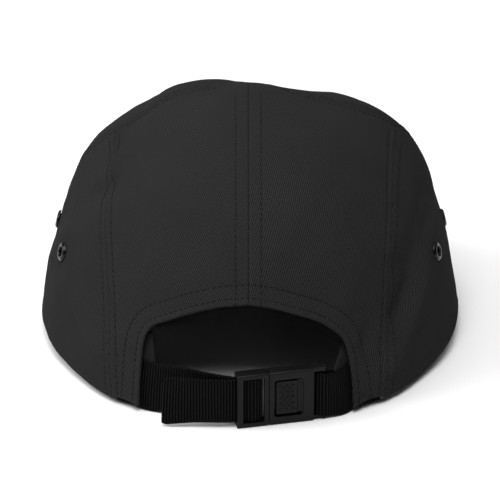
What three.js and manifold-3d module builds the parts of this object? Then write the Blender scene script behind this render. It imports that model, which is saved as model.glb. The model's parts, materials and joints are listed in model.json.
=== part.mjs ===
// Five panel cap of cotton twill: front, side and back panels, inner band, brim, eyelets, webbing strap
// and side release buckle. Millimetres, +Z up, the brim toward -Y and the strap toward +Y.
import * as THREE from "three";
import { mergeVertices } from "three/addons/utils/BufferGeometryUtils.js";
import Module from "manifold-3d";

const wasm = await Module();
wasm.setup();

// Crown: an oval hem, walls that lean in, and a top point where the panels meet
const CROWN_WIDTH = 187;
const BACK_REACH = 98; // from the widest section to the back of the hem
const FRONT_REACH = 96; // from the widest section to the front of the hem
const CROWN_HEIGHT = 106;
const TOP_FORWARD = 18; // how far the top point lies in front of the widest section
const HEM_LIFT = 8; // height of the hem at the widest section, as the cap rests
const SIDE_SQUARENESS = 2.75; // 2 is an ellipse, more is squarer
const BACK_SQUARENESS = 2.6;
const FRONT_SQUARENESS = 2.0;
const SIDE_LEAN = 0.09; // share of the width lost toward the top
const BACK_LEAN = 0.02;
const FRONT_LEAN = 0.22;

// Cloth and clearances
const CLOTH = 1.5;
const SEAM_GAP = 0.3;

// Seams, as turns in degrees from the centre back
const FRONT_SEAM_TOP_TURN = 68;
const FRONT_SEAM_HEM_TURN = 120;
const SIDE_SEAM_HEM_X = 56; // from the centre plane, at the hem
const SIDE_SEAM_TOP_X = 64; // from the centre plane, where it ends on the front seam
const TIP_HALF = 1.5; // half the width at which the panels stop short of the top point

// Arched opening over the strap
const ARCH_WIDTH = 92;
const ARCH_HEIGHT = 48;
const ARCH_SIDE_POWER = 2.2;
const ARCH_TOP_POWER = 3.2;
const ARCH_STEPS = 28;

// Inner band
const BAND_HEIGHT = 31;
const BAND_GAP = 0.6; // between the band and the panels
const BAND_HEM_GAP = 0.6; // how far its lower edge sits above the hem
const BAND_END_LEFT_X = 37; // where its ends show under the webbing, from the centre plane
const BAND_END_RIGHT_X = 31;
const BAND_TOP_X = 44; // where its ends reach the arch at their top
const BAND_END_IN = 2.2; // how far its free ends hang in from the webbing
const BAND_END_SPAN = 10; // degrees of turn over which its ends hang in
const BAND_STEP_START = 3; // degrees past the sewn webbing where it starts back toward the panels
const BAND_STEP_END = 16; // and where it lies along them

// Brim
const BRIM_REACH = 70;
const BRIM_THICKNESS = 2.8;
const BRIM_END_TURN = 124;
const BRIM_BEND = 0.0025; // drop per mm squared away from the centre plane
const BRIM_FALL = 0.157; // drop per mm toward the tip
const BRIM_SPLAY = 0.55; // sideways share of the way its ends run out
const BRIM_SPLAY_FADE = 0.8;
const BRIM_CORNER = 2.4; // more is a squarer outline
const BRIM_EDGE_SHARE = 0.75; // of its thickness, left at the outline
const BRIM_BLEND_BEFORE = 10; // degrees of turn over which the hem comes down to the brim
const BRIM_BLEND_AFTER = 8;

// Eyelets
const EYELET_DIAMETER = 8.4;
const EYELET_BORE = 4.2;
const EYELET_HEIGHT = 45;
const EYELET_TURNS = { rear: 70, front: 93 };
const EYELET_WALL = 0.6;
const EYELET_FLANGE = 0.8;
const EYELET_CLEAR = 0.4; // between its flanges and the cloth
const EYELET_FLAT_NEAR = 0.8; // folds are flat this near to it, in diameters
const EYELET_FLAT_FAR = 2.2; // and full depth this far off
const EYELET_SEGMENTS = 12;

// Webbing
const WEB_WIDTH = 20;
const WEB_THICKNESS = 1.3;
const WEB_GAP = 0.5; // between the webbing and the cloth on both sides of it
const WEB_HIDDEN = 7; // degrees of turn that it runs on between panel and band
const TAIL_END_X = 38; // where the free tail ends, from the centre plane
const TAIL_SPRING = 9; // how far the tail's end stands off the strap behind it
const TAIL_BULGE = 1.2; // outward bend of its middle
const STRAP_EXIT = 4; // how far past the buckle the strap runs straight
const TAIL_EXIT = 2;
const STRAP_HANG = 1.7; // power of the curve from the buckle to the arch
const STRAP_HANG_AT = [0.62, 0.3]; // shares of that way where the path has points
const WEB_ENTRY = 1.5; // degrees of turn that it keeps to the wall inside the arch
const LOOP_CLOSE = 3; // how far past the end bar the two layers of the loop close up
const LOOP_END = 6; // and where the inner one ends
const LOOP_PINCH = 0.3;
const LOOP_BOW = 0.9; // outward bend of the right webbing
// From here to the arch the webbing takes up the wall's lean
const LEAN_START_LEFT_X = 16;
const LEAN_START_RIGHT_X = 33;

// Buckle: local +X toward the strap with the tail, +Y outward, origin where its two parts meet
const BUCKLE_X = -8;
const BUCKLE_Y = 98.9;
const BUCKLE_TURN = 13;
const BUCKLE_HEIGHT = 24.5;
const BUCKLE_THICKNESS = 6;
const INSERT_LENGTH = 13.6;
const INSERT_INNER_BAR = 1.9; // bar next to the socket
const INSERT_OUTER_BAR = 2.5;
const INSERT_OUTER_BAR_THICKNESS = 1.5;
const CENTRE_BAR_START = 4.9;
const CENTRE_BAR_WIDTH = 3.1;
const CENTRE_BAR_THICKNESS = 1.3;
const SOCKET_LENGTH = 19.2;
const SOCKET_WALL = 1.3;
const RAIL_LENGTH = 5.2; // beyond the socket, to the end of the end bar
const RAIL_THICKNESS = 3.6;
const END_BAR_DIAMETER = 2.4;
const WINDOW_LENGTH = 12.6;
const WINDOW_HEIGHT = 17.4;
const WINDOW_START = 2.1; // from the socket's mouth
const WINDOW_RADIUS = 1.6;
const BUTTON_LENGTH = 9;
const BUTTON_HEIGHT = 15.8;
const BUTTON_START = 3.2; // from the socket's mouth
const BUTTON_SUNK = 0.5; // below the socket's face
const TONGUE_HEIGHT = 12;
const TONGUE_THICKNESS = 1.6;
const BUCKLE_BEVEL = 0.7;
const BUTTON_BEVEL = 0.5;
const CLEAR = 0.3;

// Folds and dents of the crown. Turns are degrees from the centre back, + to the wearer's left,
// heights are shares of the crown's, and half width and depth are shares of its height too.
const FOLDS = [
  { name: "peak", turn: 0, up: 1, toTurn: 0, toUp: 0.97, half: 0.14, out: 0.018 },
  { name: "left_shoulder_dent", turn: 74, up: 0.7, toTurn: 80, toUp: 0.9, half: 0.2, out: -0.045 },
  { name: "left_top_dent", turn: 96, up: 0.9, toTurn: 98, toUp: 0.97, half: 0.2, out: -0.03 },
  { name: "left_side_dent", turn: 88, up: 0.5, toTurn: 84, toUp: 0.64, half: 0.24, out: -0.026 },
  { name: "left_crease", turn: 58, up: 0.74, toTurn: 72, toUp: 0.66, half: 0.05, out: -0.018 },
  { name: "left_crease_edge", turn: 66, up: 0.88, toTurn: 61, toUp: 0.78, half: 0.05, out: 0.016 },
  { name: "left_ridge", turn: 54, up: 0.3, toTurn: 45, toUp: 0.14, half: 0.05, out: 0.012 },
  { name: "left_wave", turn: 77, up: 0.34, toTurn: 66, toUp: 0.26, half: 0.08, out: 0.008 },
  { name: "right_shoulder", turn: -90, up: 0.74, toTurn: -94, toUp: 0.84, half: 0.2, out: 0.03 },
  { name: "right_valley", turn: -78, up: 0.6, toTurn: -50, toUp: 0.46, half: 0.06, out: -0.024 },
  { name: "right_ridge", turn: -66, up: 0.44, toTurn: -40, toUp: 0.11, half: 0.055, out: 0.024 },
  { name: "right_fold", turn: -56, up: 0.43, toTurn: -44, toUp: 0.3, half: 0.045, out: -0.02 },
  { name: "arch_dent", turn: -33, up: 0.34, toTurn: -34, toUp: 0.17, half: 0.06, out: -0.014 },
  { name: "right_hem_bulge", turn: -88, up: 0, toTurn: -70, toUp: 0, half: 0.22, out: 0.014 },
  { name: "left_hem_corner", turn: 26, up: 0, toTurn: 34, toUp: 0, half: 0.26, out: 0.036 },
  { name: "right_hem_corner", turn: -26, up: 0, toTurn: -34, toUp: 0, half: 0.26, out: 0.036 },
];
const FOLD_STEPS = 5;

// Mesh steps
const LOW_ROWS = 12; // up to the end of the side seam
const HIGH_ROWS = 9; // from there to the top point
const LOW_BUNCH = 1.5; // how much the rows bunch toward the upper end
const HIGH_BUNCH = 1.8;
const FRONT_COLUMNS = 20;
const SIDE_COLUMNS = 16;
const BACK_COLUMNS = 10;
const BAND_COLUMNS = 64;
const BAND_ROWS = 4;
const BRIM_COLUMNS = 32;
const BRIM_ROWS = 6;
const WEB_ROWS = 3;
const STRAP_LEFT_STEPS = 66;
const STRAP_RIGHT_STEPS = 44;

const HALF_WIDTH = CROWN_WIDTH / 2;
const DEGREE = Math.PI / 180;
const sin = (degrees) => Math.sin(degrees * DEGREE);
const cos = (degrees) => Math.cos(degrees * DEGREE);
const mix = THREE.MathUtils.lerp;
const smooth = THREE.MathUtils.smoothstep;

// Brim surface and hem: the hem is level-sided at the back and follows the brim at the front
const brimEndY = FRONT_REACH * cos(BRIM_END_TURN);
const brimEndX = HALF_WIDTH * sin(BRIM_END_TURN);
const restPlane = (y) => HEM_LIFT * (1 - y / BACK_REACH);
function brimHeight(x, y) {
  const bend = BRIM_BEND * (brimEndX ** 2 - x ** 2);
  return restPlane(brimEndY) + bend + BRIM_FALL * (y - brimEndY);
}
function hemHeight(turn, x, y) {
  const underBrim = smooth(Math.abs(turn), BRIM_END_TURN - BRIM_BLEND_BEFORE, BRIM_END_TURN + BRIM_BLEND_AFTER);
  return mix(restPlane(y), brimHeight(x, y), underBrim);
}

// A point of the smooth crown: up is the share of the way from the hem to the top point
function smoothWall(turn, up) {
  const along = cos(turn);
  const back = along > 0;
  const x = HALF_WIDTH * sin(turn);
  const y = (back ? BACK_REACH : FRONT_REACH) * along;
  const endSquareness = back ? BACK_SQUARENESS : FRONT_SQUARENESS;
  const squareness = mix(SIDE_SQUARENESS, endSquareness, along ** 2);
  const endLean = back ? BACK_LEAN : mix(BACK_LEAN, FRONT_LEAN, along ** 2);
  const spread = Math.max(0, 1 - up ** squareness) ** (1 / squareness);
  const hem = hemHeight(turn, x, y);
  return new THREE.Vector3(
    x * spread * (1 - SIDE_LEAN * up),
    y * spread * (1 - endLean * up) - TOP_FORWARD * up,
    hem + (CROWN_HEIGHT - hem) * up,
  );
}

function wallNormal(turn, up) {
  const step = 0.2;
  const rise = 0.002;
  const low = Math.max(0, Math.min(up, 0.999) - rise);
  const high = Math.min(0.9995, up + rise);
  const across = smoothWall(turn + step, up).sub(smoothWall(turn - step, up));
  const upward = smoothWall(turn, high).sub(smoothWall(turn, low));
  const normal = across.cross(upward).negate();
  return normal.lengthSq() > 1e-12 ? normal.normalize() : new THREE.Vector3(0, 0, 1);
}

const foldPaths = FOLDS.map((fold) => {
  const points = [];
  for (let i = 0; i <= FOLD_STEPS; i++) {
    const share = i / FOLD_STEPS;
    points.push(smoothWall(mix(fold.turn, fold.toTurn, share), mix(fold.up, fold.toUp, share)));
  }
  return { ...fold, points };
});

function foldDepth(point) {
  const nearest = new THREE.Vector3();
  let depth = 0;
  for (const fold of foldPaths) {
    let distance = Infinity;
    for (let i = 0; i < FOLD_STEPS; i++) {
      new THREE.Line3(fold.points[i], fold.points[i + 1]).closestPointToPoint(point, true, nearest);
      distance = Math.min(distance, nearest.distanceTo(point));
    }
    depth += fold.out * CROWN_HEIGHT * Math.exp(-((distance / (fold.half * CROWN_HEIGHT)) ** 2));
  }
  return depth;
}

// The share of the way up at a height above the hem
function upAt(turn, height) {
  const hem = smoothWall(turn, 0).z;
  return height / (CROWN_HEIGHT - hem);
}

// The metal keeps the cloth flat around each eyelet, so folds fade out there
const eyeletUp = (turn) => upAt(turn, EYELET_HEIGHT - smoothWall(turn, 0).z);
const eyeletSpots = [1, -1].flatMap((side) =>
  Object.values(EYELET_TURNS).map((turn) => {
    const point = smoothWall(side * turn, eyeletUp(side * turn));
    return { point, depth: foldDepth(point) };
  }),
);

// A point of the folded crown, moved outward by offset
function wall(turn, up, offset = 0) {
  const point = smoothWall(turn, up);
  let folded = foldDepth(point);
  for (const spot of eyeletSpots) {
    const diameters = spot.point.distanceTo(point) / EYELET_DIAMETER;
    folded = mix(spot.depth, folded, smooth(diameters, EYELET_FLAT_NEAR, EYELET_FLAT_FAR));
  }
  return point.addScaledVector(wallNormal(turn, up), folded + offset);
}

const frontSeam = (up) => {
  const drop = Math.acos(up ** (SIDE_SQUARENESS / 2)) / (Math.PI / 2);
  return mix(FRONT_SEAM_TOP_TURN, FRONT_SEAM_HEM_TURN, drop);
};
const widthAt = (up) => HALF_WIDTH * (1 - up ** SIDE_SQUARENESS) ** (1 / SIDE_SQUARENESS) * (1 - SIDE_LEAN * up);
function sideSeam(up) {
  const x = mix(SIDE_SEAM_HEM_X, SIDE_SEAM_TOP_X, up / junctionUp);
  return Math.asin(Math.min(1, x / widthAt(up))) / DEGREE;
}

// Where the side seam runs into the front seam
let junctionUp = 0.5;
while (widthAt(junctionUp) > SIDE_SEAM_TOP_X) junctionUp += 0.001;
// Where the panels stop short of the top point
let tipUp = 0.9;
while (widthAt(tipUp) > TIP_HALF) tipUp = mix(tipUp, 1, 0.02);

// Geometry helpers
function signedVolume(positions, index) {
  const a = new THREE.Vector3();
  const b = new THREE.Vector3();
  const c = new THREE.Vector3();
  let volume = 0;
  for (let i = 0; i < index.length; i += 3) {
    a.fromArray(positions, 3 * index[i]);
    b.fromArray(positions, 3 * index[i + 1]);
    c.fromArray(positions, 3 * index[i + 2]);
    volume += a.dot(b.cross(c)) / 6;
  }
  return volume;
}

// A closed shell between an outer and an inner grid of points, at(u, v, inner)
function shell(columns, rows, at) {
  const positions = [];
  const index = [];
  for (const inner of [false, true])
    for (let j = 0; j <= rows; j++)
      for (let i = 0; i <= columns; i++) positions.push(...at(i / columns, j / rows, inner).toArray());
  const id = (i, j, inner) => (inner ? (rows + 1) * (columns + 1) : 0) + j * (columns + 1) + i;
  const quad = (a, b, c, d) => index.push(a, b, c, a, c, d);
  for (let j = 0; j < rows; j++)
    for (let i = 0; i < columns; i++) {
      quad(id(i, j), id(i + 1, j), id(i + 1, j + 1), id(i, j + 1));
      quad(id(i, j, true), id(i, j + 1, true), id(i + 1, j + 1, true), id(i + 1, j, true));
    }
  for (let i = 0; i < columns; i++) {
    quad(id(i, 0), id(i, 0, true), id(i + 1, 0, true), id(i + 1, 0));
    quad(id(i, rows), id(i + 1, rows), id(i + 1, rows, true), id(i, rows, true));
  }
  for (let j = 0; j < rows; j++) {
    quad(id(0, j), id(0, j + 1), id(0, j + 1, true), id(0, j, true));
    quad(id(columns, j), id(columns, j, true), id(columns, j + 1, true), id(columns, j + 1));
  }
  if (signedVolume(positions, index) < 0) index.reverse();
  const geometry = new THREE.BufferGeometry();
  geometry.setAttribute("position", new THREE.Float32BufferAttribute(positions, 3));
  return geometry.setIndex(index);
}

function toSolid(geometry) {
  const bare = geometry.clone();
  bare.deleteAttribute("normal");
  bare.deleteAttribute("uv");
  const merged = mergeVertices(bare, 1e-3);
  return new wasm.Manifold(
    new wasm.Mesh({
      numProp: 3,
      vertProperties: merged.attributes.position.array,
      triVerts: new Uint32Array(merged.index.array),
    }),
  );
}

function fromSolid(solid) {
  const mesh = solid.getMesh();
  const geometry = new THREE.BufferGeometry();
  geometry.setAttribute("position", new THREE.BufferAttribute(new Float32Array(mesh.vertProperties), 3));
  return geometry.setIndex(new THREE.BufferAttribute(new Uint32Array(mesh.triVerts), 1));
}

const join = (first, ...others) => others.reduce((solid, other) => solid.add(toSolid(other)), toSolid(first));
const cut = (solid, ...others) => others.reduce((rest, other) => rest.subtract(toSolid(other)), solid);

// Half the seam gap as a turn, at a point of the crown
function gapTurn(turn, up) {
  const step = 0.5;
  const arc = smoothWall(turn + step, up).distanceTo(smoothWall(turn - step, up)) / (2 * step);
  return SEAM_GAP / 2 / Math.max(arc, 0.02);
}

// Rows that all panels share, so that neighbours meet point to point
const rowUps = [];
for (let j = 0; j <= LOW_ROWS; j++) rowUps.push(mix(0, junctionUp, 1 - (1 - j / LOW_ROWS) ** LOW_BUNCH));
for (let j = 1; j <= HIGH_ROWS; j++) rowUps.push(mix(junctionUp, tipUp, 1 - (1 - j / HIGH_ROWS) ** HIGH_BUNCH));

// Turn and share of the way up of a seam at a row, which may lie between two rows
function onRows(seam, row) {
  const below = Math.min(Math.floor(row), rowUps.length - 2);
  const share = row - below;
  const up = mix(rowUps[below], rowUps[below + 1], share);
  const turn = mix(seam(rowUps[below]), seam(rowUps[below + 1]), share);
  return { up, turn, gap: gapTurn(turn, up) };
}

function panelPoint(turn, up, inner) {
  return wall(turn, up, inner ? -CLOTH : 0);
}

// Crown panels
const backSeam = (up) => (up < junctionUp ? sideSeam(up) : frontSeam(up));

function frontPanel() {
  const rows = LOW_ROWS + HIGH_ROWS;
  return shell(FRONT_COLUMNS, rows, (u, v, inner) => {
    const { up, turn, gap } = onRows(frontSeam, v * rows);
    return panelPoint(mix(turn + gap, 360 - turn - gap, u), up, inner);
  });
}

function backPanel(side) {
  const rows = LOW_ROWS + HIGH_ROWS;
  return shell(BACK_COLUMNS, rows, (u, v, inner) => {
    const { up, turn, gap } = onRows(backSeam, v * rows);
    return panelPoint(side * mix(gapTurn(0, up), turn - gap, u), up, inner);
  });
}

// The side panel stops short of the row where its two seams meet, so its upper end is a narrow edge
function sidePanel(side) {
  const lastRow = LOW_ROWS - 0.4;
  return shell(SIDE_COLUMNS, LOW_ROWS, (u, v, inner) => {
    const row = Math.min(v * LOW_ROWS, lastRow);
    const rear = onRows(sideSeam, row);
    const front = onRows(frontSeam, row);
    return panelPoint(side * mix(rear.turn + rear.gap, front.turn - front.gap, u), rear.up, inner);
  });
}

// The arch as a prism through the back wall
function archCutter() {
  const shape = new THREE.Shape();
  const half = ARCH_WIDTH / 2;
  const below = -ARCH_HEIGHT / 2;
  shape.moveTo(-half, below);
  shape.lineTo(half, below);
  for (let i = 0; i <= ARCH_STEPS; i++) {
    const angle = 180 * (i / ARCH_STEPS);
    const x = half * Math.sign(cos(angle)) * Math.abs(cos(angle)) ** (2 / ARCH_SIDE_POWER);
    const z = ARCH_HEIGHT * sin(angle) ** (2 / ARCH_TOP_POWER);
    shape.lineTo(x, z);
  }
  const geometry = new THREE.ExtrudeGeometry(shape, { depth: BACK_REACH, bevelEnabled: false });
  return geometry.rotateX(Math.PI / 2).translate(0, 1.4 * BACK_REACH, 0);
}

// Eyelets stand square to the wall at their own height
function eyeletPlace(side, turn) {
  const up = eyeletUp(side * turn);
  const centre = wall(side * turn, up);
  const reach = EYELET_DIAMETER / 2;
  const step = reach / HALF_WIDTH / DEGREE;
  const rise = reach / CROWN_HEIGHT;
  const across = wall(side * turn + step, up).sub(wall(side * turn - step, up));
  const upward = wall(side * turn, up + rise).sub(wall(side * turn, up - rise));
  const normal = across.cross(upward).negate().normalize();
  return { centre, turned: new THREE.Quaternion().setFromUnitVectors(new THREE.Vector3(0, 1, 0), normal) };
}

function eyeletHole(place) {
  const radius = EYELET_BORE / 2 + EYELET_WALL + CLEAR;
  return new THREE.CylinderGeometry(radius, radius, 5 * CLOTH, 16)
    .translate(0, -CLOTH / 2, 0)
    .applyQuaternion(place.turned)
    .translate(...place.centre.toArray());
}

function eyelet() {
  const bore = EYELET_BORE / 2;
  const barrel = bore + EYELET_WALL;
  const flange = EYELET_DIAMETER / 2;
  const face = EYELET_CLEAR;
  const back = -CLOTH - EYELET_CLEAR;
  const rounding = EYELET_FLANGE / 2;
  const profile = [
    [bore, back - rounding],
    [bore + rounding, back - EYELET_FLANGE],
    [flange - 2 * rounding, back - EYELET_FLANGE],
    [flange - rounding, back],
    [barrel, back],
    [barrel, face],
    [flange, face],
    [flange - rounding / 2, face + rounding],
    [flange - 2 * rounding, face + EYELET_FLANGE],
    [bore + rounding, face + EYELET_FLANGE],
    [bore, face + rounding],
    [bore, back - rounding],
  ];
  return new THREE.LatheGeometry(profile.map(([r, y]) => new THREE.Vector2(r, y)), EYELET_SEGMENTS);
}

// The inner band steps in beside the arch, where the webbing runs between it and the panels
const archEdgeTurn = Math.asin(ARCH_WIDTH / CROWN_WIDTH) / DEGREE;
const webEndTurn = archEdgeTurn + WEB_HIDDEN;
function bandOffset(turn) {
  const beside = 1 - smooth(Math.abs(turn), webEndTurn + BAND_STEP_START, webEndTurn + BAND_STEP_END);
  const free = 1 - smooth(Math.abs(turn), archEdgeTurn - BAND_END_SPAN, archEdgeTurn);
  return CLOTH + mix(BAND_GAP, WEB_THICKNESS + 2 * WEB_GAP, beside) + BAND_END_IN * free;
}

function sweatband() {
  const endTurn = (x) => Math.asin(x / HALF_WIDTH) / DEGREE;
  return shell(BAND_COLUMNS, BAND_ROWS, (u, v, inner) => {
    const left = mix(endTurn(BAND_END_LEFT_X), endTurn(BAND_TOP_X), v);
    const right = mix(endTurn(BAND_END_RIGHT_X), endTurn(BAND_TOP_X), v);
    const turn = mix(left, 360 - right, u);
    const wrapped = turn > 180 ? turn - 360 : turn;
    const up = upAt(wrapped, mix(BAND_HEM_GAP, BAND_HEIGHT, v));
    return wall(wrapped, up, -bandOffset(wrapped) - (inner ? CLOTH : 0));
  });
}

// The brim fans out from the hem, and its corners are round. Its columns bunch toward its two ends.
function brim() {
  return shell(BRIM_COLUMNS, BRIM_ROWS, (u, v, inner) => {
    const step = 1 - Math.abs(2 * u - 1);
    const share = mix(step ** 2, step, 0.35);
    const side = u < 0.5 ? 1 : -1;
    const turn = side * mix(BRIM_END_TURN, 180, share);
    const root = wall(turn, upAt(turn, BRIM_THICKNESS / 2), CLEAR);
    const sideways = mix(BRIM_SPLAY, 0, share ** BRIM_SPLAY_FADE) * side;
    const forward = -Math.sqrt(1 - sideways ** 2);
    const reach = BRIM_REACH * Math.sqrt(1 - (1 - share) ** BRIM_CORNER) + BRIM_THICKNESS;
    const x = root.x + sideways * reach * v;
    const y = root.y + forward * reach * v;
    const thickness = BRIM_THICKNESS * mix(1, BRIM_EDGE_SHARE, v);
    const z = brimHeight(x, y) + (inner ? 0 : thickness);
    return new THREE.Vector3(x, y, z);
  });
}

const webMiddle = BUCKLE_HEIGHT / 2;
const webOffset = -(CLOTH + WEB_GAP + WEB_THICKNESS / 2);
const webAt = (turn, height) => wall(turn, upAt(turn, height - smoothWall(turn, 0).z), webOffset);

// How far the webbing leans in plan at a height: as the wall does beside the arch, upright at the buckle
function webLean(x, height) {
  const turn = Math.sign(x) * (Math.asin(Math.min(1, Math.abs(x) / HALF_WIDTH)) / DEGREE);
  const start = x > 0 ? LEAN_START_LEFT_X : LEAN_START_RIGHT_X;
  const share = smooth(Math.abs(x), start, BAND_TOP_X - 2);
  return webAt(turn, height).sub(webAt(turn, webMiddle)).multiplyScalar(share);
}

// Webbing stands on its edge along a path in plan
function ribbon(path, steps) {
  const points = new THREE.CatmullRomCurve3(path.map(([x, y]) => new THREE.Vector3(x, y, 0)), false, "centripetal")
    .getSpacedPoints(steps);
  const across = points.map((point, i) => {
    const before = points[Math.max(0, i - 1)];
    const after = points[Math.min(points.length - 1, i + 1)];
    const along = after.clone().sub(before).normalize();
    return new THREE.Vector3(-along.y, along.x, 0).multiplyScalar(WEB_THICKNESS / 2);
  });
  return shell(steps, WEB_ROWS, (u, v, inner) => {
    const i = Math.round(u * steps);
    const height = webMiddle + WEB_WIDTH * (v - 0.5);
    const lean = webLean(points[i].x, height);
    const point = points[i].clone().addScaledVector(across[i], inner ? -1 : 1);
    return new THREE.Vector3(point.x + lean.x, point.y + lean.y, height);
  });
}

// A point given along and out from the buckle, in plan
function fromBuckle(along, out) {
  return [
    BUCKLE_X + along * cos(BUCKLE_TURN) - out * sin(BUCKLE_TURN),
    BUCKLE_Y + along * sin(BUCKLE_TURN) + out * cos(BUCKLE_TURN),
  ];
}

// Run of webbing hidden between panel and band, from its sewn end to the arch's edge
function hiddenRun(side) {
  return [WEB_HIDDEN, WEB_HIDDEN / 2, 0, -WEB_ENTRY].map((more) => {
    const point = webAt(side * (archEdgeTurn + more), webMiddle);
    return [point.x, point.y];
  });
}

const layer = CENTRE_BAR_THICKNESS / 2 + CLEAR + WEB_THICKNESS / 2;
const outerBarBack = BUCKLE_THICKNESS / 2 - INSERT_OUTER_BAR_THICKNESS;
const tailLevel = outerBarBack - CLEAR - WEB_THICKNESS / 2;
const strapLevel = Math.min(-layer, tailLevel - WEB_THICKNESS - CLEAR);

function strapLeft() {
  const barEnd = CENTRE_BAR_START + CENTRE_BAR_WIDTH;
  const turnStart = CENTRE_BAR_START - WEB_THICKNESS / 2 - 2 * CLEAR;
  const exit = fromBuckle(INSERT_LENGTH + STRAP_EXIT, strapLevel);
  const tailExit = fromBuckle(INSERT_LENGTH + TAIL_EXIT, tailLevel);
  const arch = hiddenRun(1).at(-1);
  const hanging = (share) => [mix(exit[0], arch[0], share), mix(exit[1], arch[1], share ** STRAP_HANG)];
  const behindTail = hanging((TAIL_END_X - exit[0]) / (arch[0] - exit[0]));
  const path = [
    ...hiddenRun(1),
    ...STRAP_HANG_AT.map(hanging),
    exit,
    fromBuckle(INSERT_LENGTH - 1, strapLevel),
    fromBuckle(barEnd, strapLevel),
    fromBuckle(CENTRE_BAR_START, -layer),
    fromBuckle(turnStart + CLEAR, -layer * 0.62),
    fromBuckle(turnStart, 0),
    fromBuckle(turnStart + CLEAR, layer * 0.62),
    fromBuckle(CENTRE_BAR_START, layer),
    fromBuckle(mix(CENTRE_BAR_START, barEnd, 0.5), layer + CLEAR),
    fromBuckle(barEnd, layer),
    fromBuckle(INSERT_LENGTH - INSERT_OUTER_BAR - 2 * CLEAR, tailLevel),
    fromBuckle(INSERT_LENGTH - 1, tailLevel),
    tailExit,
    [mix(tailExit[0], TAIL_END_X, 0.5), mix(tailExit[1], behindTail[1] + TAIL_SPRING, 0.5) + TAIL_BULGE],
    [TAIL_END_X, behindTail[1] + TAIL_SPRING],
  ];
  return ribbon(path, STRAP_LEFT_STEPS);
}

function strapRight() {
  const bar = -(SOCKET_LENGTH + RAIL_LENGTH - END_BAR_DIAMETER / 2);
  const wrap = END_BAR_DIAMETER / 2 + CLEAR + WEB_THICKNESS / 2;
  const arch = hiddenRun(-1).at(-1);
  const front = fromBuckle(bar - LOOP_CLOSE, wrap - LOOP_PINCH);
  const path = [
    ...hiddenRun(-1),
    [mix(arch[0], front[0], 0.5), mix(arch[1], front[1], 0.5) + LOOP_BOW],
    front,
    fromBuckle(bar, wrap),
    fromBuckle(bar + wrap, 0),
    fromBuckle(bar, -wrap),
    fromBuckle(bar - LOOP_CLOSE, -wrap + LOOP_PINCH),
    fromBuckle(bar - LOOP_END, -wrap + LOOP_PINCH),
  ];
  return ribbon(path, STRAP_RIGHT_STEPS);
}

// A box with bevelled long edges, between two places along the buckle
function bevelBox(from, to, height, thickness, radius = BUCKLE_BEVEL) {
  const half = thickness / 2 - radius;
  const tall = height / 2 - radius;
  const shape = new THREE.Shape();
  shape.absarc(tall, half, radius, 0, Math.PI / 2);
  shape.absarc(-tall, half, radius, Math.PI / 2, Math.PI);
  shape.absarc(-tall, -half, radius, Math.PI, 1.5 * Math.PI);
  shape.absarc(tall, -half, radius, 1.5 * Math.PI, 2 * Math.PI);
  const geometry = new THREE.ExtrudeGeometry(shape, { depth: to - from, bevelEnabled: false, curveSegments: 3 });
  return geometry.rotateY(Math.PI / 2).translate(from, 0, 0);
}

function plainBox(from, to, low, high, bottom, top) {
  return new THREE.BoxGeometry(to - from, high - low, top - bottom).translate(
    (from + to) / 2,
    (low + high) / 2,
    (bottom + top) / 2,
  );
}

// A rounded window cut through the front of the socket
function windowCutter(from, length, height, radius, low, high) {
  const shape = new THREE.Shape();
  const tall = height / 2 - radius;
  shape.absarc(from + length - radius, tall, radius, 0, Math.PI / 2);
  shape.absarc(from + radius, tall, radius, Math.PI / 2, Math.PI);
  shape.absarc(from + radius, -tall, radius, Math.PI, 1.5 * Math.PI);
  shape.absarc(from + length - radius, -tall, radius, 1.5 * Math.PI, 2 * Math.PI);
  return new THREE.ExtrudeGeometry(shape, { depth: high - low, bevelEnabled: false, curveSegments: 4 })
    .rotateX(Math.PI / 2)
    .translate(0, high, 0);
}

const webSlot = WEB_WIDTH + 2 * CLEAR;
const pocketHeight = BUCKLE_HEIGHT - 4 * SOCKET_WALL;

function buckleSocket() {
  const half = BUCKLE_THICKNESS / 2;
  const bodyEnd = -SOCKET_LENGTH;
  const railEnd = bodyEnd - RAIL_LENGTH;
  const railDepth = (BUCKLE_HEIGHT - webSlot) / 2;
  const body = bevelBox(bodyEnd, -CLEAR / 2, BUCKLE_HEIGHT, BUCKLE_THICKNESS);
  const rails = [1, -1].map((side) =>
    plainBox(
      railEnd,
      bodyEnd + 1,
      -RAIL_THICKNESS / 2,
      RAIL_THICKNESS / 2,
      side > 0 ? BUCKLE_HEIGHT / 2 - railDepth : -BUCKLE_HEIGHT / 2,
      side > 0 ? BUCKLE_HEIGHT / 2 : -BUCKLE_HEIGHT / 2 + railDepth,
    ),
  );
  const bar = new THREE.CylinderGeometry(END_BAR_DIAMETER / 2, END_BAR_DIAMETER / 2, BUCKLE_HEIGHT - 1, 12)
    .rotateX(Math.PI / 2)
    .translate(railEnd + END_BAR_DIAMETER / 2, 0, 0);
  const pocket = plainBox(
    bodyEnd + SOCKET_WALL,
    1,
    -half + SOCKET_WALL,
    half - SOCKET_WALL,
    -pocketHeight / 2,
    pocketHeight / 2,
  );
  const opening = windowCutter(
    -WINDOW_START - WINDOW_LENGTH,
    WINDOW_LENGTH,
    WINDOW_HEIGHT,
    WINDOW_RADIUS,
    half - 2 * SOCKET_WALL,
    half + 1,
  );
  return fromSolid(cut(join(body, ...rails, bar), pocket, opening));
}

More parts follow.
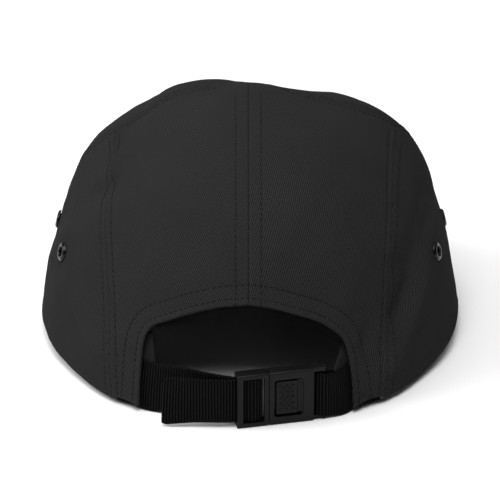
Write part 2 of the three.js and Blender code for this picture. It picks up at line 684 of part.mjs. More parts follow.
function buckleInsert() {
  const half = BUCKLE_THICKNESS / 2;
  const tall = webSlot / 2;
  const frame = bevelBox(CLEAR / 2, INSERT_LENGTH, BUCKLE_HEIGHT, BUCKLE_THICKNESS);
  const through = plainBox(INSERT_INNER_BAR, INSERT_LENGTH - INSERT_OUTER_BAR, -half - 1, half + 1, -tall, tall);
  const underOuterBar = plainBox(INSERT_INNER_BAR, INSERT_LENGTH + 1, -half - 1, outerBarBack, -tall, tall);
  const centreBar = plainBox(
    CENTRE_BAR_START,
    CENTRE_BAR_START + CENTRE_BAR_WIDTH,
    -CENTRE_BAR_THICKNESS / 2,
    CENTRE_BAR_THICKNESS / 2,
    -tall - 1,
    tall + 1,
  );
  const tongue = plainBox(
    -BUTTON_START - BUTTON_LENGTH,
    1,
    -TONGUE_THICKNESS / 2,
    TONGUE_THICKNESS / 2,
    -TONGUE_HEIGHT / 2,
    TONGUE_HEIGHT / 2,
  );
  const button = bevelBox(
    -BUTTON_START - BUTTON_LENGTH,
    -BUTTON_START,
    BUTTON_HEIGHT,
    half - BUTTON_SUNK + TONGUE_THICKNESS / 2,
    BUTTON_BEVEL,
  ).translate(0, (half - BUTTON_SUNK - TONGUE_THICKNESS / 2) / 2, 0);
  return fromSolid(cut(join(frame), through, underOuterBar).add(join(centreBar, tongue, button)));
}

// The group
const twill = new THREE.MeshStandardMaterial({ color: 0x2c2c2d, roughness: 0.95, metalness: 0 });
const webbing = new THREE.MeshStandardMaterial({ color: 0x101011, roughness: 0.8, metalness: 0 });
const plastic = new THREE.MeshStandardMaterial({ color: 0x1c1c1e, roughness: 0.5, metalness: 0 });
const metal = new THREE.MeshStandardMaterial({ color: 0x2a2a2c, roughness: 0.3, metalness: 0.9 });

const cap = new THREE.Group();
function add(name, geometry, material, parent = cap) {
  const mesh = new THREE.Mesh(geometry, material);
  mesh.name = name;
  parent.add(mesh);
  return mesh;
}

add("front_panel", frontPanel(), twill);
for (const [word, side] of [["left", 1], ["right", -1]]) {
  const places = Object.entries(EYELET_TURNS).map(([where, turn]) => [where, eyeletPlace(side, turn)]);
  const holes = places.map(([, place]) => eyeletHole(place));
  add("back_panel_" + word, fromSolid(cut(toSolid(backPanel(side)), archCutter())), twill);
  add("side_panel_" + word, fromSolid(cut(toSolid(sidePanel(side)), ...holes)), twill);
  for (const [where, place] of places) {
    const ring = add("eyelet_" + word + "_" + where, eyelet(), metal);
    ring.position.copy(place.centre);
    ring.quaternion.copy(place.turned);
  }
}
add("sweatband", sweatband(), twill);
add("brim", brim(), twill);
add("strap_left", strapLeft(), webbing);
add("strap_right", strapRight(), webbing);

const buckle = new THREE.Group();
buckle.position.set(BUCKLE_X, BUCKLE_Y, BUCKLE_HEIGHT / 2);
buckle.rotation.z = BUCKLE_TURN * DEGREE;
cap.add(buckle);
add("buckle_insert", buckleInsert(), plastic, buckle);
add("buckle_socket", buckleSocket(), plastic, buckle);

// The origin is the middle of the box's underside
const box = new THREE.Box3().setFromObject(cap, true);
const middle = box.getCenter(new THREE.Vector3());
cap.children.forEach((child) => child.position.sub(new THREE.Vector3(middle.x, middle.y, box.min.z)));

export default cap;
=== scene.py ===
"""Looks of a five panel cap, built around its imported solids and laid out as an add-on."""
import json
import math

import bmesh
import bpy
import numpy as np
from bpy.props import FloatProperty, FloatVectorProperty, IntProperty, PointerProperty
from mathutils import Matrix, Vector


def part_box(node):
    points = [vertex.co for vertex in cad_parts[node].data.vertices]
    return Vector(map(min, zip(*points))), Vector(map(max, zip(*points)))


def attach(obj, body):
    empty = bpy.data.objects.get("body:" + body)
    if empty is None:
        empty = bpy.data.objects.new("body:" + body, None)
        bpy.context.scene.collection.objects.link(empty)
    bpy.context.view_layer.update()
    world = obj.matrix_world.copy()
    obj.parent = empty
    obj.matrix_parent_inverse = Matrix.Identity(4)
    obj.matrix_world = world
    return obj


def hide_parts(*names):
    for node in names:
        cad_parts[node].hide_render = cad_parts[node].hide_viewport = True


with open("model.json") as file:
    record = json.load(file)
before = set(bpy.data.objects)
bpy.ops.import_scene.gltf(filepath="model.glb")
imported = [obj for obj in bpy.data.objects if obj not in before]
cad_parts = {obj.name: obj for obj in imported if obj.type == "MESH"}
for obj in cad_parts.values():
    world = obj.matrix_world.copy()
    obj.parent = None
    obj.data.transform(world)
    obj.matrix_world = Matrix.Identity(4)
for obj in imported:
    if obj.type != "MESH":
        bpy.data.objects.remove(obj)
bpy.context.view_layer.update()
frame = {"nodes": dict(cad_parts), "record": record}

bl_info = {
    "name": "Five Panel Cap Looks",
    "version": (1, 0, 0),
    "blender": (4, 5, 0),
    "location": "View3D > Sidebar > Cap",
    "description": "Builds the cloth, stitching, webbing, buckle and eyelets of a five panel cap",
    "category": "Object",
}

MM = 0.001
DEGREE = math.pi / 180

# Sizes of the crown in millimetres and degrees, as in the part's source
CROWN_WIDTH = 187
BACK_REACH = 98
FRONT_REACH = 96
CROWN_HEIGHT = 106
TOP_FORWARD = 18
HEM_LIFT = 8
SIDE_SQUARENESS = 2.75
BACK_SQUARENESS = 2.6
FRONT_SQUARENESS = 2.0
SIDE_LEAN = 0.09
BACK_LEAN = 0.02
FRONT_LEAN = 0.22
CLOTH = 1.5
FRONT_SEAM_TOP_TURN = 68
FRONT_SEAM_HEM_TURN = 120
SIDE_SEAM_HEM_X = 56
SIDE_SEAM_TOP_X = 64
ARCH_WIDTH = 92
BAND_HEIGHT = 31
BAND_GAP = 0.6
BAND_HEM_GAP = 0.6
BAND_END_LEFT_X = 37
BAND_END_RIGHT_X = 31
BAND_TOP_X = 44
BAND_END_IN = 2.2
BAND_END_SPAN = 10
BAND_STEP_START = 3
BAND_STEP_END = 16
BRIM_REACH = 70
BRIM_THICKNESS = 2.8
BRIM_END_TURN = 124
BRIM_BEND = 0.0025
BRIM_FALL = 0.157
BRIM_SPLAY = 0.55
BRIM_SPLAY_FADE = 0.8
BRIM_CORNER = 2.4
BRIM_EDGE_SHARE = 0.75
BRIM_BLEND_BEFORE = 10
BRIM_BLEND_AFTER = 8
EYELET_DIAMETER = 8.4
EYELET_BORE = 4.2
EYELET_HEIGHT = 45
EYELET_TURNS = {"rear": 70, "front": 93}
EYELET_WALL = 0.6
EYELET_FLAT_NEAR = 0.8
EYELET_FLAT_FAR = 2.2

# Webbing and buckle, as in the part's source apart from the hang of the straps
WEB_WIDTH = 20
WEB_THICKNESS = 1.3
WEB_GAP = 0.5
WEB_HIDDEN = 7
WEB_ENTRY = 1.5
TAIL_END_X = 36
TAIL_SPRING = 11.6
TAIL_BULGE = 1.2
STRAP_EXIT = 4
TAIL_EXIT = 2
STRAP_HANG = 1.1
STRAP_SET_BACK = 2.5
STRAP_DROP = 2.0
STRAP_DROP_X = (20, 44)
STRAP_HANG_AT = (0.62, 0.3)
LOOP_CLOSE = 3
LOOP_END = 6
LOOP_PINCH = 0.3
LOOP_BOW = 0.9
LOOP_SLACK = 0.75
LOOP_ROUND = 0.62
LEAN_START_LEFT_X = 16
LEAN_START_RIGHT_X = 33
BUCKLE_X = -8
BUCKLE_Y = 98.9
BUCKLE_TURN = 13
BUCKLE_HEIGHT = 24.5
BUCKLE_THICKNESS = 6
INSERT_LENGTH = 13.6
INSERT_OUTER_BAR = 2.5
INSERT_OUTER_BAR_THICKNESS = 1.5
CENTRE_BAR_START = 4.9
CENTRE_BAR_WIDTH = 3.1
CENTRE_BAR_THICKNESS = 1.3
SOCKET_LENGTH = 19.2
RAIL_LENGTH = 5.2
END_BAR_DIAMETER = 2.4
WINDOW_LENGTH = 12.6
WINDOW_START = 2.1
BUTTON_LENGTH = 9
BUTTON_HEIGHT = 15.8
BUTTON_START = 3.2
BUTTON_SUNK = 0.5
CLEAR = 0.3

# Folds of the crown. Those at the peak and the front are the look's own, and the others are the part's.
# Each row is turn, up, to turn, to up, half width and depth, the last two as shares of the height.
FOLDS = {
    "peak": (90, 0.975, 0, 0.998, 0.2, 0.05),
    "left_shoulder_dent": (74, 0.7, 80, 0.9, 0.2, -0.045),
    "left_top_dent": (96, 0.9, 98, 0.97, 0.2, -0.03),
    "left_side_dent": (88, 0.5, 84, 0.64, 0.24, -0.026),
    "left_crease": (58, 0.74, 72, 0.66, 0.05, -0.018),
    "left_crease_edge": (66, 0.88, 61, 0.78, 0.05, 0.016),
    "left_ridge": (54, 0.3, 45, 0.14, 0.05, 0.012),
    "left_wave": (77, 0.34, 66, 0.26, 0.08, 0.008),
    "right_shoulder": (-90, 0.74, -94, 0.84, 0.2, 0.03),
    "right_valley": (-78, 0.6, -50, 0.46, 0.06, -0.024),
    "right_ridge": (-66, 0.44, -40, 0.11, 0.055, 0.024),
    "right_fold": (-56, 0.43, -44, 0.3, 0.045, -0.02),
    "arch_dent": (-33, 0.34, -34, 0.17, 0.06, -0.014),
    "right_hem_bulge": (-88, 0, -70, 0, 0.22, 0.014),
    "left_hem_corner": (26, 0, 34, 0, 0.26, 0.036),
    "right_hem_corner": (-26, 0, -34, 0, 0.26, 0.036),
    "front_top": (-170, 0.9, -150, 0.96, 0.2, -0.045),
    "front_left": (132, 0.92, 112, 0.85, 0.16, -0.018),
    "front_right": (-130, 0.93, -112, 0.87, 0.2, -0.03),
}
FOLD_STEPS = 5

# Seams and stitching
SEAM_OVERLAP = 0.08
CENTRE_ROW = 5.4
SIDE_ROW = 3.3
TOP_ROW = 3.0
ARCH_ROWS = (3.0, 8.6)
ROW_END_UP = 0.022
RIM = 0.75
EDGE_STEPS = (0, 0.08, 0.22, 0.42, 0.7, 1.1, 1.7)

HALF_WIDTH = CROWN_WIDTH / 2
MAP_POWER = 2.7


# Small maths helpers
def mix(low, high, share):
    return low + (high - low) * share


def smooth(value, low, high):
    share = np.clip((value - low) / (high - low), 0, 1)
    return share * share * (3 - 2 * share)


def sine(degrees):
    return np.sin(np.asarray(degrees, float) * DEGREE)


def cosine(degrees):
    return np.cos(np.asarray(degrees, float) * DEGREE)


def unit(vectors):
    return vectors / np.maximum(np.linalg.norm(vectors, axis=-1, keepdims=True), 1e-9)


# Shape of the crown, in millimetres about its own axis
BRIM_END_Y = FRONT_REACH * float(cosine(BRIM_END_TURN))
BRIM_END_X = HALF_WIDTH * float(sine(BRIM_END_TURN))


def rest_plane(y):
    return HEM_LIFT * (1 - y / BACK_REACH)


def brim_height(x, y):
    bend = BRIM_BEND * (BRIM_END_X**2 - x**2)
    return rest_plane(BRIM_END_Y) + bend + BRIM_FALL * (y - BRIM_END_Y)


# The left end of the top seam is pulled forward: turn, share of the way up, both spreads and degrees
SEAM_PULL = (88, 0.88, 25, 0.12, 9)


def smooth_wall(turn, up):
    """A point of the crown without its folds"""
    turn, up = np.broadcast_arrays(np.asarray(turn, float), np.asarray(up, float))
    at_turn, at_up, turn_spread, up_spread, degrees = SEAM_PULL
    turn = turn + degrees * np.exp(-(((turn - at_turn) / turn_spread) ** 2) - ((up - at_up) / up_spread) ** 2)
    along = cosine(turn)
    x = HALF_WIDTH * sine(turn)
    y = np.where(along > 0, BACK_REACH, FRONT_REACH) * along
    end_squareness = np.where(along > 0, BACK_SQUARENESS, FRONT_SQUARENESS)
    squareness = mix(SIDE_SQUARENESS, end_squareness, along**2)
    end_lean = np.where(along > 0, BACK_LEAN, mix(BACK_LEAN, FRONT_LEAN, along**2))
    spread = np.maximum(0, 1 - np.clip(up, 0, 1) ** squareness) ** (1 / squareness)
    wrapped = np.abs((turn + 180) % 360 - 180)
    under = smooth(wrapped, BRIM_END_TURN - BRIM_BLEND_BEFORE, BRIM_END_TURN + BRIM_BLEND_AFTER)
    hem = mix(rest_plane(y), brim_height(x, y), under)
    return np.stack([
        x * spread * (1 - SIDE_LEAN * up),
        y * spread * (1 - end_lean * up) - TOP_FORWARD * up,
        hem + (CROWN_HEIGHT - hem) * up,
    ], -1)


def wall_normal(turn, up):
    step, rise = 0.2, 0.002
    up = np.asarray(up, float)
    low = np.clip(np.minimum(up, 0.999) - rise, 0, 1)
    high = np.minimum(0.9995, up + rise)
    across = smooth_wall(turn + step, up) - smooth_wall(turn - step, up)
    upward = smooth_wall(turn, high) - smooth_wall(turn, low)
    normal = -np.cross(across, upward)
    flat = np.linalg.norm(normal, axis=-1, keepdims=True) < 1e-6
    return np.where(flat, np.array([0.0, 0.0, 1.0]), unit(normal))


def to_path(points, starts, ends):
    """Distance from each point to the nearest of some straight stretches"""
    nearest = np.full(points.shape[:-1], np.inf)
    for start, end in zip(starts, ends):
        along = end - start
        share = np.clip(((points - start) @ along) / max(along @ along, 1e-9), 0, 1)
        nearest = np.minimum(nearest, np.linalg.norm(points - start - share[..., None] * along, axis=-1))
    return nearest


def fold_paths():
    shares = np.linspace(0, 1, FOLD_STEPS + 1)
    paths = []
    for turn, up, to_turn, to_up, half, out in FOLDS.values():
        line = smooth_wall(mix(turn, to_turn, shares), mix(up, to_up, shares))
        paths.append((line[:-1], line[1:], half * CROWN_HEIGHT, out * CROWN_HEIGHT))
    return paths


FOLD_PATHS = fold_paths()


def fold_depth(points):
    depth = np.zeros(points.shape[:-1])
    for starts, ends, half, out in FOLD_PATHS:
        depth += out * np.exp(-((to_path(points, starts, ends) / half) ** 2))
    return depth


def up_at(turn, height):
    """The share of the way up at a height above the hem"""
    return height / (CROWN_HEIGHT - smooth_wall(turn, 0)[..., 2])


def eyelet_up(turn):
    return up_at(turn, EYELET_HEIGHT - smooth_wall(turn, 0)[..., 2])


def eyelet_spots():
    spots = []
    for side in (1, -1):
        for turn in EYELET_TURNS.values():
            point = smooth_wall(side * turn, eyelet_up(side * turn))
            spots.append((point, float(fold_depth(point[None])[0])))
    return spots


EYELET_SPOTS = eyelet_spots()


def wall(turn, up, offset=0.0):
    """A point of the folded crown, moved outward by offset"""
    points = smooth_wall(turn, up)
    folded = fold_depth(points)
    for spot, depth in EYELET_SPOTS:
        diameters = np.linalg.norm(points - spot, axis=-1) / EYELET_DIAMETER
        folded = mix(depth, folded, smooth(diameters, EYELET_FLAT_NEAR, EYELET_FLAT_FAR))
    return points + wall_normal(turn, up) * (folded + offset)[..., None]


def width_at(up):
    squared = (1 - up**SIDE_SQUARENESS) ** (1 / SIDE_SQUARENESS)
    return HALF_WIDTH * squared * (1 - SIDE_LEAN * up)


def front_seam(up):
    drop = np.arccos(np.clip(up, 0, 1) ** (SIDE_SQUARENESS / 2)) / (math.pi / 2)
    return mix(FRONT_SEAM_TOP_TURN, FRONT_SEAM_HEM_TURN, drop)


def find_junction():
    """The share of the way up where the side seam runs into the front seam"""
    low, high = 0.5, 0.999
    for _ in range(40):
        middle = (low + high) / 2
        if width_at(middle) > SIDE_SEAM_TOP_X:
            low = middle
        else:
            high = middle
    return low


JUNCTION_UP = find_junction()


def side_seam(up):
    x = mix(SIDE_SEAM_HEM_X, SIDE_SEAM_TOP_X, up / JUNCTION_UP)
    turn = np.arcsin(np.clip(x / width_at(up), 0, 1)) / DEGREE
    return np.minimum(turn, front_seam(up))


ROUNDS = 12


def on_crown(x, z, turn, up):
    """Turn and share of the way up where the folded crown has this x and z"""
    turn, up = np.array(turn, float), np.array(up, float)
    turn_step, up_step = 0.05, 0.0005
    for _ in range(ROUNDS):
        here = wall(turn, up)
        by_turn = (wall(turn + turn_step, up) - here) / turn_step
        by_up = (wall(turn, up + up_step) - here) / up_step
        error_x, error_z = x - here[..., 0], z - here[..., 2]
        scale = by_turn[..., 0] * by_up[..., 2] - by_turn[..., 2] * by_up[..., 0]
        turn = turn + (error_x * by_up[..., 2] - error_z * by_up[..., 0]) / scale
        up = np.clip(up + (by_turn[..., 0] * error_z - by_turn[..., 2] * error_x) / scale, 0, 0.98)
    return turn, up


def aside(turn, up, distance):
    """A line on the crown moved sideways along the surface, to the left of its direction seen from outside"""
    points = smooth_wall(turn, up)
    across = np.cross(wall_normal(turn, up), unit(np.gradient(points, axis=0)))
    by_turn = (smooth_wall(turn + 0.1, up) - points) / 0.1
    by_up = (smooth_wall(turn, np.minimum(up + 0.001, 0.9999)) - smooth_wall(turn, up - 0.001)) / 0.002
    aa, ab, bb = (by_turn**2).sum(-1), (by_turn * by_up).sum(-1), (by_up**2).sum(-1)
    a, b = (by_turn * across).sum(-1), (by_up * across).sum(-1)
    scale = aa * bb - ab**2
    return turn + distance * (a * bb - b * ab) / scale, up + distance * (b * aa - a * ab) / scale


def lengths_along(points, axis):
    steps = np.linalg.norm(np.diff(points, axis=axis), axis=-1)
    total = np.cumsum(steps, axis=axis)
    start = np.zeros_like(np.take(total, [0], axis=axis))
    return np.concatenate([start, total], axis=axis)


def resample(points, shares, measure):
    """A line's points at shares of the length of its measure"""
    length = lengths_along(measure, 0)
    wanted = shares * length[-1]
    return np.stack([np.interp(wanted, length, points[:, k]) for k in range(points.shape[1])], -1)


def catmull(points, spacing):
    """A smooth path through points, as the part's own, resampled at an even spacing"""
    points = np.asarray(points, float)
    ends = [2 * points[0] - points[1], 2 * points[-1] - points[-2]]
    padded = np.concatenate([ends[:1], points, ends[1:]])
    dense = []
    for p0, p1, p2, p3 in zip(padded, padded[1:], padded[2:], padded[3:]):
        d0, d1, d2 = (math.sqrt(max(np.linalg.norm(b - a), 1e-6)) for a, b in ((p0, p1), (p1, p2), (p2, p3)))
        t1 = ((p1 - p0) / d0 - (p2 - p0) / (d0 + d1) + (p2 - p1) / d1) * d1
        t2 = ((p2 - p1) / d1 - (p3 - p1) / (d1 + d2) + (p3 - p2) / d2) * d1
        t = np.linspace(0, 1, 40, endpoint=False)[:, None]
        dense.append(p1 + t1 * t + (3 * (p2 - p1) - 2 * t1 - t2) * t**2 + (2 * (p1 - p2) + t1 + t2) * t**3)
    dense = np.concatenate([*dense, points[-1:]])
    length = lengths_along(dense, 0)
    count = int(round(length[-1] / spacing))
    return resample(dense, np.linspace(0, 1, count + 1), dense)


# Half of the arch on each side, from its apex down to the hem, as distance sideways and height
ARCH_POINTS = {
    1: ((0, 47.6), (12, 46.3), (24, 43), (34, 38.8), (40.2, 35.6), (43.4, 31.4), (45, 24),
        (46, 12), (46.3, 0.8)),
    -1: ((0, 47.6), (9, 46.2), (19, 43.2), (28, 39.8), (35, 35.4), (39.8, 30.6), (42.2, 24),
         (43.8, 14), (44.4, 0.8)),
}


ARCH_COUNT = 200


def arch_line(side, count):
    """Half of the arch as distances sideways and heights"""
    line = catmull(ARCH_POINTS[side], 0.3)
    return resample(line, np.linspace(0, 1, count), line).T


def seam_samples(seam, low, high, count=200):
    ups = low + (high - low) * np.linspace(0, 1, count)
    return seam(ups), ups


# The place of the crown's own axis in the frame, from the tip and the two sides of the brim
def brim_tip_y():
    root = wall(180.0, up_at(180.0, BRIM_THICKNESS / 2), CLEAR)
    return root[1] - BRIM_REACH - BRIM_THICKNESS


BRIM_LOW, BRIM_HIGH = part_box("brim")
CROWN_AT = np.array([
    (BRIM_LOW.x + BRIM_HIGH.x) / 2,
    BRIM_LOW.y - brim_tip_y() * MM,
    0.0,
])


def place(points):
    """Millimetres about the crown's axis to metres in the frame"""
    return np.asarray(points, float) * MM + CROWN_AT


# Mesh helpers
JOIN_DISTANCE = 2e-6


def new_object(name, mesh, materials=()):
    thing = bpy.data.objects.new(name, mesh)
    bpy.context.scene.collection.objects.link(thing)
    for material in materials:
        mesh.materials.append(material)
    return thing


def shade_smooth(mesh):
    mesh.polygons.foreach_set("use_smooth", np.ones(len(mesh.polygons), bool))


def joined_faces(mesh):
    """Join points that meet, drop loose ones and turn the faces outward"""
    shape = bmesh.new()
    shape.from_mesh(mesh)
    bmesh.ops.delete(shape, geom=[vert for vert in shape.verts if not vert.link_faces], context="VERTS")
    bmesh.ops.remove_doubles(shape, verts=shape.verts, dist=JOIN_DISTANCE)
    bmesh.ops.recalc_face_normals(shape, faces=shape.faces)
    shape.to_mesh(mesh)
    shape.free()


def new_mesh(name, points, edges, faces, attributes):
    """A mesh from points in millimetres about the crown's axis, with attributes of its points"""
    mesh = bpy.data.meshes.new(name)
    mesh.from_pydata(place(points).tolist(), edges, faces)
    for label, values in attributes.items():
        kind, field = ("FLOAT", "value") if values.ndim == 1 else ("FLOAT_VECTOR", "vector")
        layer = mesh.attributes.new(label, kind, "POINT")
        layer.data.foreach_set(field, values.astype(np.float32).ravel())
    return mesh


def cloth_shell(name, outer, inner, weave, material, hole=None):
    """A closed mesh between two grids of points in millimetres, with its weave's lengths as a UV map"""
    columns, rows = outer.shape[:2]
    index = np.arange(columns * rows).reshape(columns, rows)
    count = columns * rows
    kept = np.ones((columns - 1, rows - 1), bool) if hole is None else ~hole
    quads = np.stack([index[:-1, :-1], index[1:, :-1], index[1:, 1:], index[:-1, 1:]], -1)[kept]
    faces = [quads, quads[:, ::-1] + count]
    padded = np.pad(kept, 1)
    for first, second, start, end in (
        (padded[1:-1, :-1], padded[1:-1, 1:], index[:-1], index[1:]),
        (padded[:-1, 1:-1], padded[1:, 1:-1], index[:, :-1], index[:, 1:]),
    ):
        border = first != second
        faces.append(np.stack([start[border], end[border], end[border] + count, start[border] + count], -1))
    both = np.concatenate([weave.reshape(-1, 2), weave.reshape(-1, 2)])
    points = np.concatenate([outer.reshape(-1, 3), inner.reshape(-1, 3)])
    mesh = new_mesh(name, points, [], np.concatenate(faces).tolist(), {})
    layer = mesh.uv_layers.new(name="weave")
    loops = np.zeros(len(mesh.loops), np.int32)
    mesh.loops.foreach_get("vertex_index", loops)
    layer.data.foreach_set("uv", both[loops].astype(np.float32).ravel())
    run = mesh.attributes.new("run", "FLOAT", "POINT")
    run.data.foreach_set("value", both[:, 0].astype(np.float32))
    joined_faces(mesh)
    shade_smooth(mesh)
    return new_object(name, mesh, [material])


def close_steps(count, lengths):
    """Shares along lines of these lengths: close steps at both ends and even ones between"""
    lengths = np.maximum(np.asarray(lengths, float), 1e-3)[:, None]
    near = np.array(EDGE_STEPS)[None]
    near = near * np.minimum(1, lengths / (5 * EDGE_STEPS[-1])) / lengths
    even = mix(near[:, -1:], 1 - near[:, -1:], np.linspace(0, 1, count + 1)[None, 1:-1])
    return np.concatenate([near, even, 1 - near[:, ::-1]], 1)


def rim_drop(distance, radius):
    """How far a rounded edge has dropped, at a distance from the edge"""
    inside = np.clip(radius - distance, 0, radius)
    return radius - np.sqrt(radius**2 - inside**2)


def to_map(turn, up):
    """A flat map of the crown, seen from above, in which a panel's grid lines are straight"""
    radius = np.arccos(np.clip(up, 0, 1) ** (MAP_POWER / 2)) / (math.pi / 2)
    return np.stack([radius * sine(turn), radius * cosine(turn)], -1)


def from_map(points):
    radius = np.clip(np.linalg.norm(points, axis=-1), 1e-6, 1)
    turn = np.arctan2(points[..., 0], points[..., 1]) / DEGREE
    return turn, np.cos(radius * math.pi / 2) ** (2 / MAP_POWER)


class Line:
    """A dense line on the crown, in millimetres, with its directions and running length"""

    STEP = 0.4

    def __init__(self, turn, up):
        rough = wall(turn, up)
        length = lengths_along(rough, 0)
        wanted = np.linspace(0, length[-1], int(length[-1] / self.STEP) + 2)
        self.turn = np.interp(wanted, length, turn)
        self.up = np.interp(wanted, length, up)
        self.points = wall(self.turn, self.up)
        self.normal = wall_normal(self.turn, self.up)
        self.along = unit(np.gradient(self.points, axis=0))
        self.run = wanted

    def near(self, points):
        """Distance of each point from the line, and how far along the line it is"""
        flat = points.reshape(-1, 3)
        squares = (self.points**2).sum(1)
        nearest = np.empty(len(flat), int)
        for start in range(0, len(flat), CHUNK):
            part = flat[start:start + CHUNK]
            nearest[start:start + CHUNK] = (squares - 2 * part @ self.points.T).argmin(1)
        gap = flat - self.points[nearest]
        more = np.clip((gap * self.along[nearest]).sum(1), -self.STEP, self.STEP)
        distance = np.linalg.norm(gap - more[:, None] * self.along[nearest], axis=1)
        return distance.reshape(points.shape[:-1]), (self.run[nearest] + more).reshape(points.shape[:-1])


def arch_turns(side):
    """Turn and share of the way up along half of the arch, from its apex down to the hem"""
    x, z = arch_line(side, ARCH_COUNT)
    return on_crown(side * x, z, side * np.arcsin(x / HALF_WIDTH) / DEGREE, z / CROWN_HEIGHT)


def row_line(turn, up, most):
    """A row of stitches that ends a little above the hem"""
    keep = up > ROW_END_UP
    return Line(turn[keep], np.minimum(up[keep], most))


def make_lines():
    lines = {"centre": Line(np.zeros(300), np.linspace(0.45, 0.9999, 300))}
    for word, side in (("left", 1), ("right", -1)):
        turn, up = seam_samples(side_seam, 0, JUNCTION_UP - 0.003)
        lines["side_" + word] = Line(side * turn, up)
        for where, gap in (("front", SIDE_ROW), ("rear", -SIDE_ROW)):
            row_turn, row_up = aside(turn, up, gap)
            keep = row_turn < front_seam(np.clip(row_up, 0, 1)) - 1
            lines[f"side_{word}_{where}"] = row_line(side * row_turn[keep], row_up[keep], 0.9)
        turn, up = seam_samples(front_seam, 0, 0.99995, 500)
        lines["top_" + word] = Line(side * turn, up)
        turn, up = turn[up < 0.997], up[up < 0.997]
        for where, gap in (("front", TOP_ROW), ("rear", -TOP_ROW)):
            row_turn, row_up = aside(turn, up, gap)
            lines[f"top_{word}_{where}"] = row_line(side * row_turn, row_up, 0.9985)
        turn, up = arch_turns(side)
        lines["arch_" + word] = Line(turn, up)
        for number, gap in enumerate(ARCH_ROWS):
            row_turn, row_up = aside(turn, up, -side * gap)
            row_turn[0] = 0
            lines[f"arch_{word}_{number}"] = row_line(row_turn, row_up, 1)
        up = np.linspace(float(up[0]) + 0.002, 0.993, 200)
        row_turn, row_up = aside(np.zeros(200), up, CENTRE_ROW)
        lines["centre_" + word] = Line(side * row_turn, row_up)
        low, high = float(np.abs(turn).max()), FRONT_SEAM_HEM_TURN
        hem = np.linspace(low, side_seam(np.array([0.0]))[0], 60)
        lines["hem_back_" + word] = Line(side * hem, np.zeros(60))
        hem = np.linspace(hem[-1], high, 200)
        lines["hem_side_" + word] = Line(side * hem, np.zeros(200))
    hem = np.linspace(FRONT_SEAM_HEM_TURN, 360 - FRONT_SEAM_HEM_TURN, 300)
    lines["hem_front"] = Line(hem, np.zeros(300))
    return lines


CHUNK = 6000
LINES = make_lines()

# What a line does to the cloth: edge rounding, groove, pucker, swell of a turned edge, and a raised lip
LINE_KINDS = {
    "seam": (0.5, 0, 0.11, 0, 0),
    "lapped": (0.5, 0, 0.1, 0, 0.3),
    "hem": (0.75, 0, 0.05, 0.35, 0),
    "row": (0, 0.12, 0.07, 0, 0),
}


def panel_features(name):
    word = name.split("_")[-1]
    if name.startswith("back"):
        kinds = {"centre": "seam", "side_" + word: "lapped", "top_" + word: "seam",
                 "arch_" + word: "hem", "hem_back_" + word: "hem", "centre_" + word: "row",
                 f"side_{word}_rear": "row", f"top_{word}_rear": "row",
                 f"arch_{word}_0": "row", f"arch_{word}_1": "row"}
    elif name.startswith("side"):
        kinds = {"side_" + word: "seam", "top_" + word: "seam", "hem_side_" + word: "hem",
                 f"side_{word}_front": "row", f"top_{word}_rear": "row"}
    else:
        kinds = {"top_left": "lapped", "top_right": "lapped", "hem_front": "hem",
                 "top_left_front": "row", "top_right_front": "row"}
    return kinds


# Length and height of the washed cloth's waves, in millimetres
SOFT_WAVES = ((34, 0.3), (23, 0.2), (15, 0.12), (10, 0.07), (7, 0.045))
WAVES_EACH = 3
WAVE_SEED = 11


def soft_waves(points):
    """The slight unevenness of washed cloth, in millimetres"""
    chance = np.random.default_rng(WAVE_SEED)
    height = np.zeros(points.shape[:-1])
    for length, size in SOFT_WAVES:
        for _ in range(WAVES_EACH):
            direction = unit(chance.normal(size=3))
            start = chance.uniform(0, 2 * math.pi)
            bend = unit(chance.normal(size=3))
            phase = points @ direction * (2 * math.pi / length) + 1.3 * np.sin(points @ bend / length * 2.4)
            height += size * np.sin(phase + start) / WAVES_EACH
    return height


def relief(points, features):
    """Height of the cloth's own relief, and how far its rounded edges have dropped, in millimetres"""
    height = soft_waves(points)
    height = height + crease_height(points)
    drop = np.zeros(points.shape[:-1])
    calm = smooth(np.linalg.norm(points - smooth_wall(0, 1.0), axis=-1), CALM_NEAR, CALM_FAR)
    for number, (name, kind) in enumerate(features.items()):
        radius, groove, pucker, swell, lip = LINE_KINDS[kind]
        distance, run = LINES[name].near(points)
        wander = 0.9 * np.sin(run / 9.1 + number) + 0.6 * np.sin(run / 4.3 + 2 * number)
        strength = 0.62 + 0.38 * np.sin(run / 15 + 3 * number)
        wave = np.sin(2 * math.pi * run / PUCKER_PITCH + wander)
        height += calm * pucker * strength * wave * np.exp(-((distance / PUCKER_REACH) ** 2))
        height -= calm * groove * np.exp(-((distance / GROOVE_HALF) ** 2))
        height += swell * (1 - smooth(distance, *SWELL_FADE))
        height += calm * lip * np.exp(-((distance - LIP_AT) ** 2))
        if radius:
            drop = np.maximum(drop, calm * rim_drop(distance, radius))
    return height, drop


PUCKER_PITCH = 4.7
PUCKER_REACH = 3.4
GROOVE_HALF = 0.6
LIP_AT = 1.4
SWELL_FADE = (ARCH_ROWS[0] - 1.2, ARCH_ROWS[0] + 0.3)
# The seams' relief fades out over these distances from the point where they meet at the top
CALM_NEAR = 2.0
CALM_FAR = 13.0

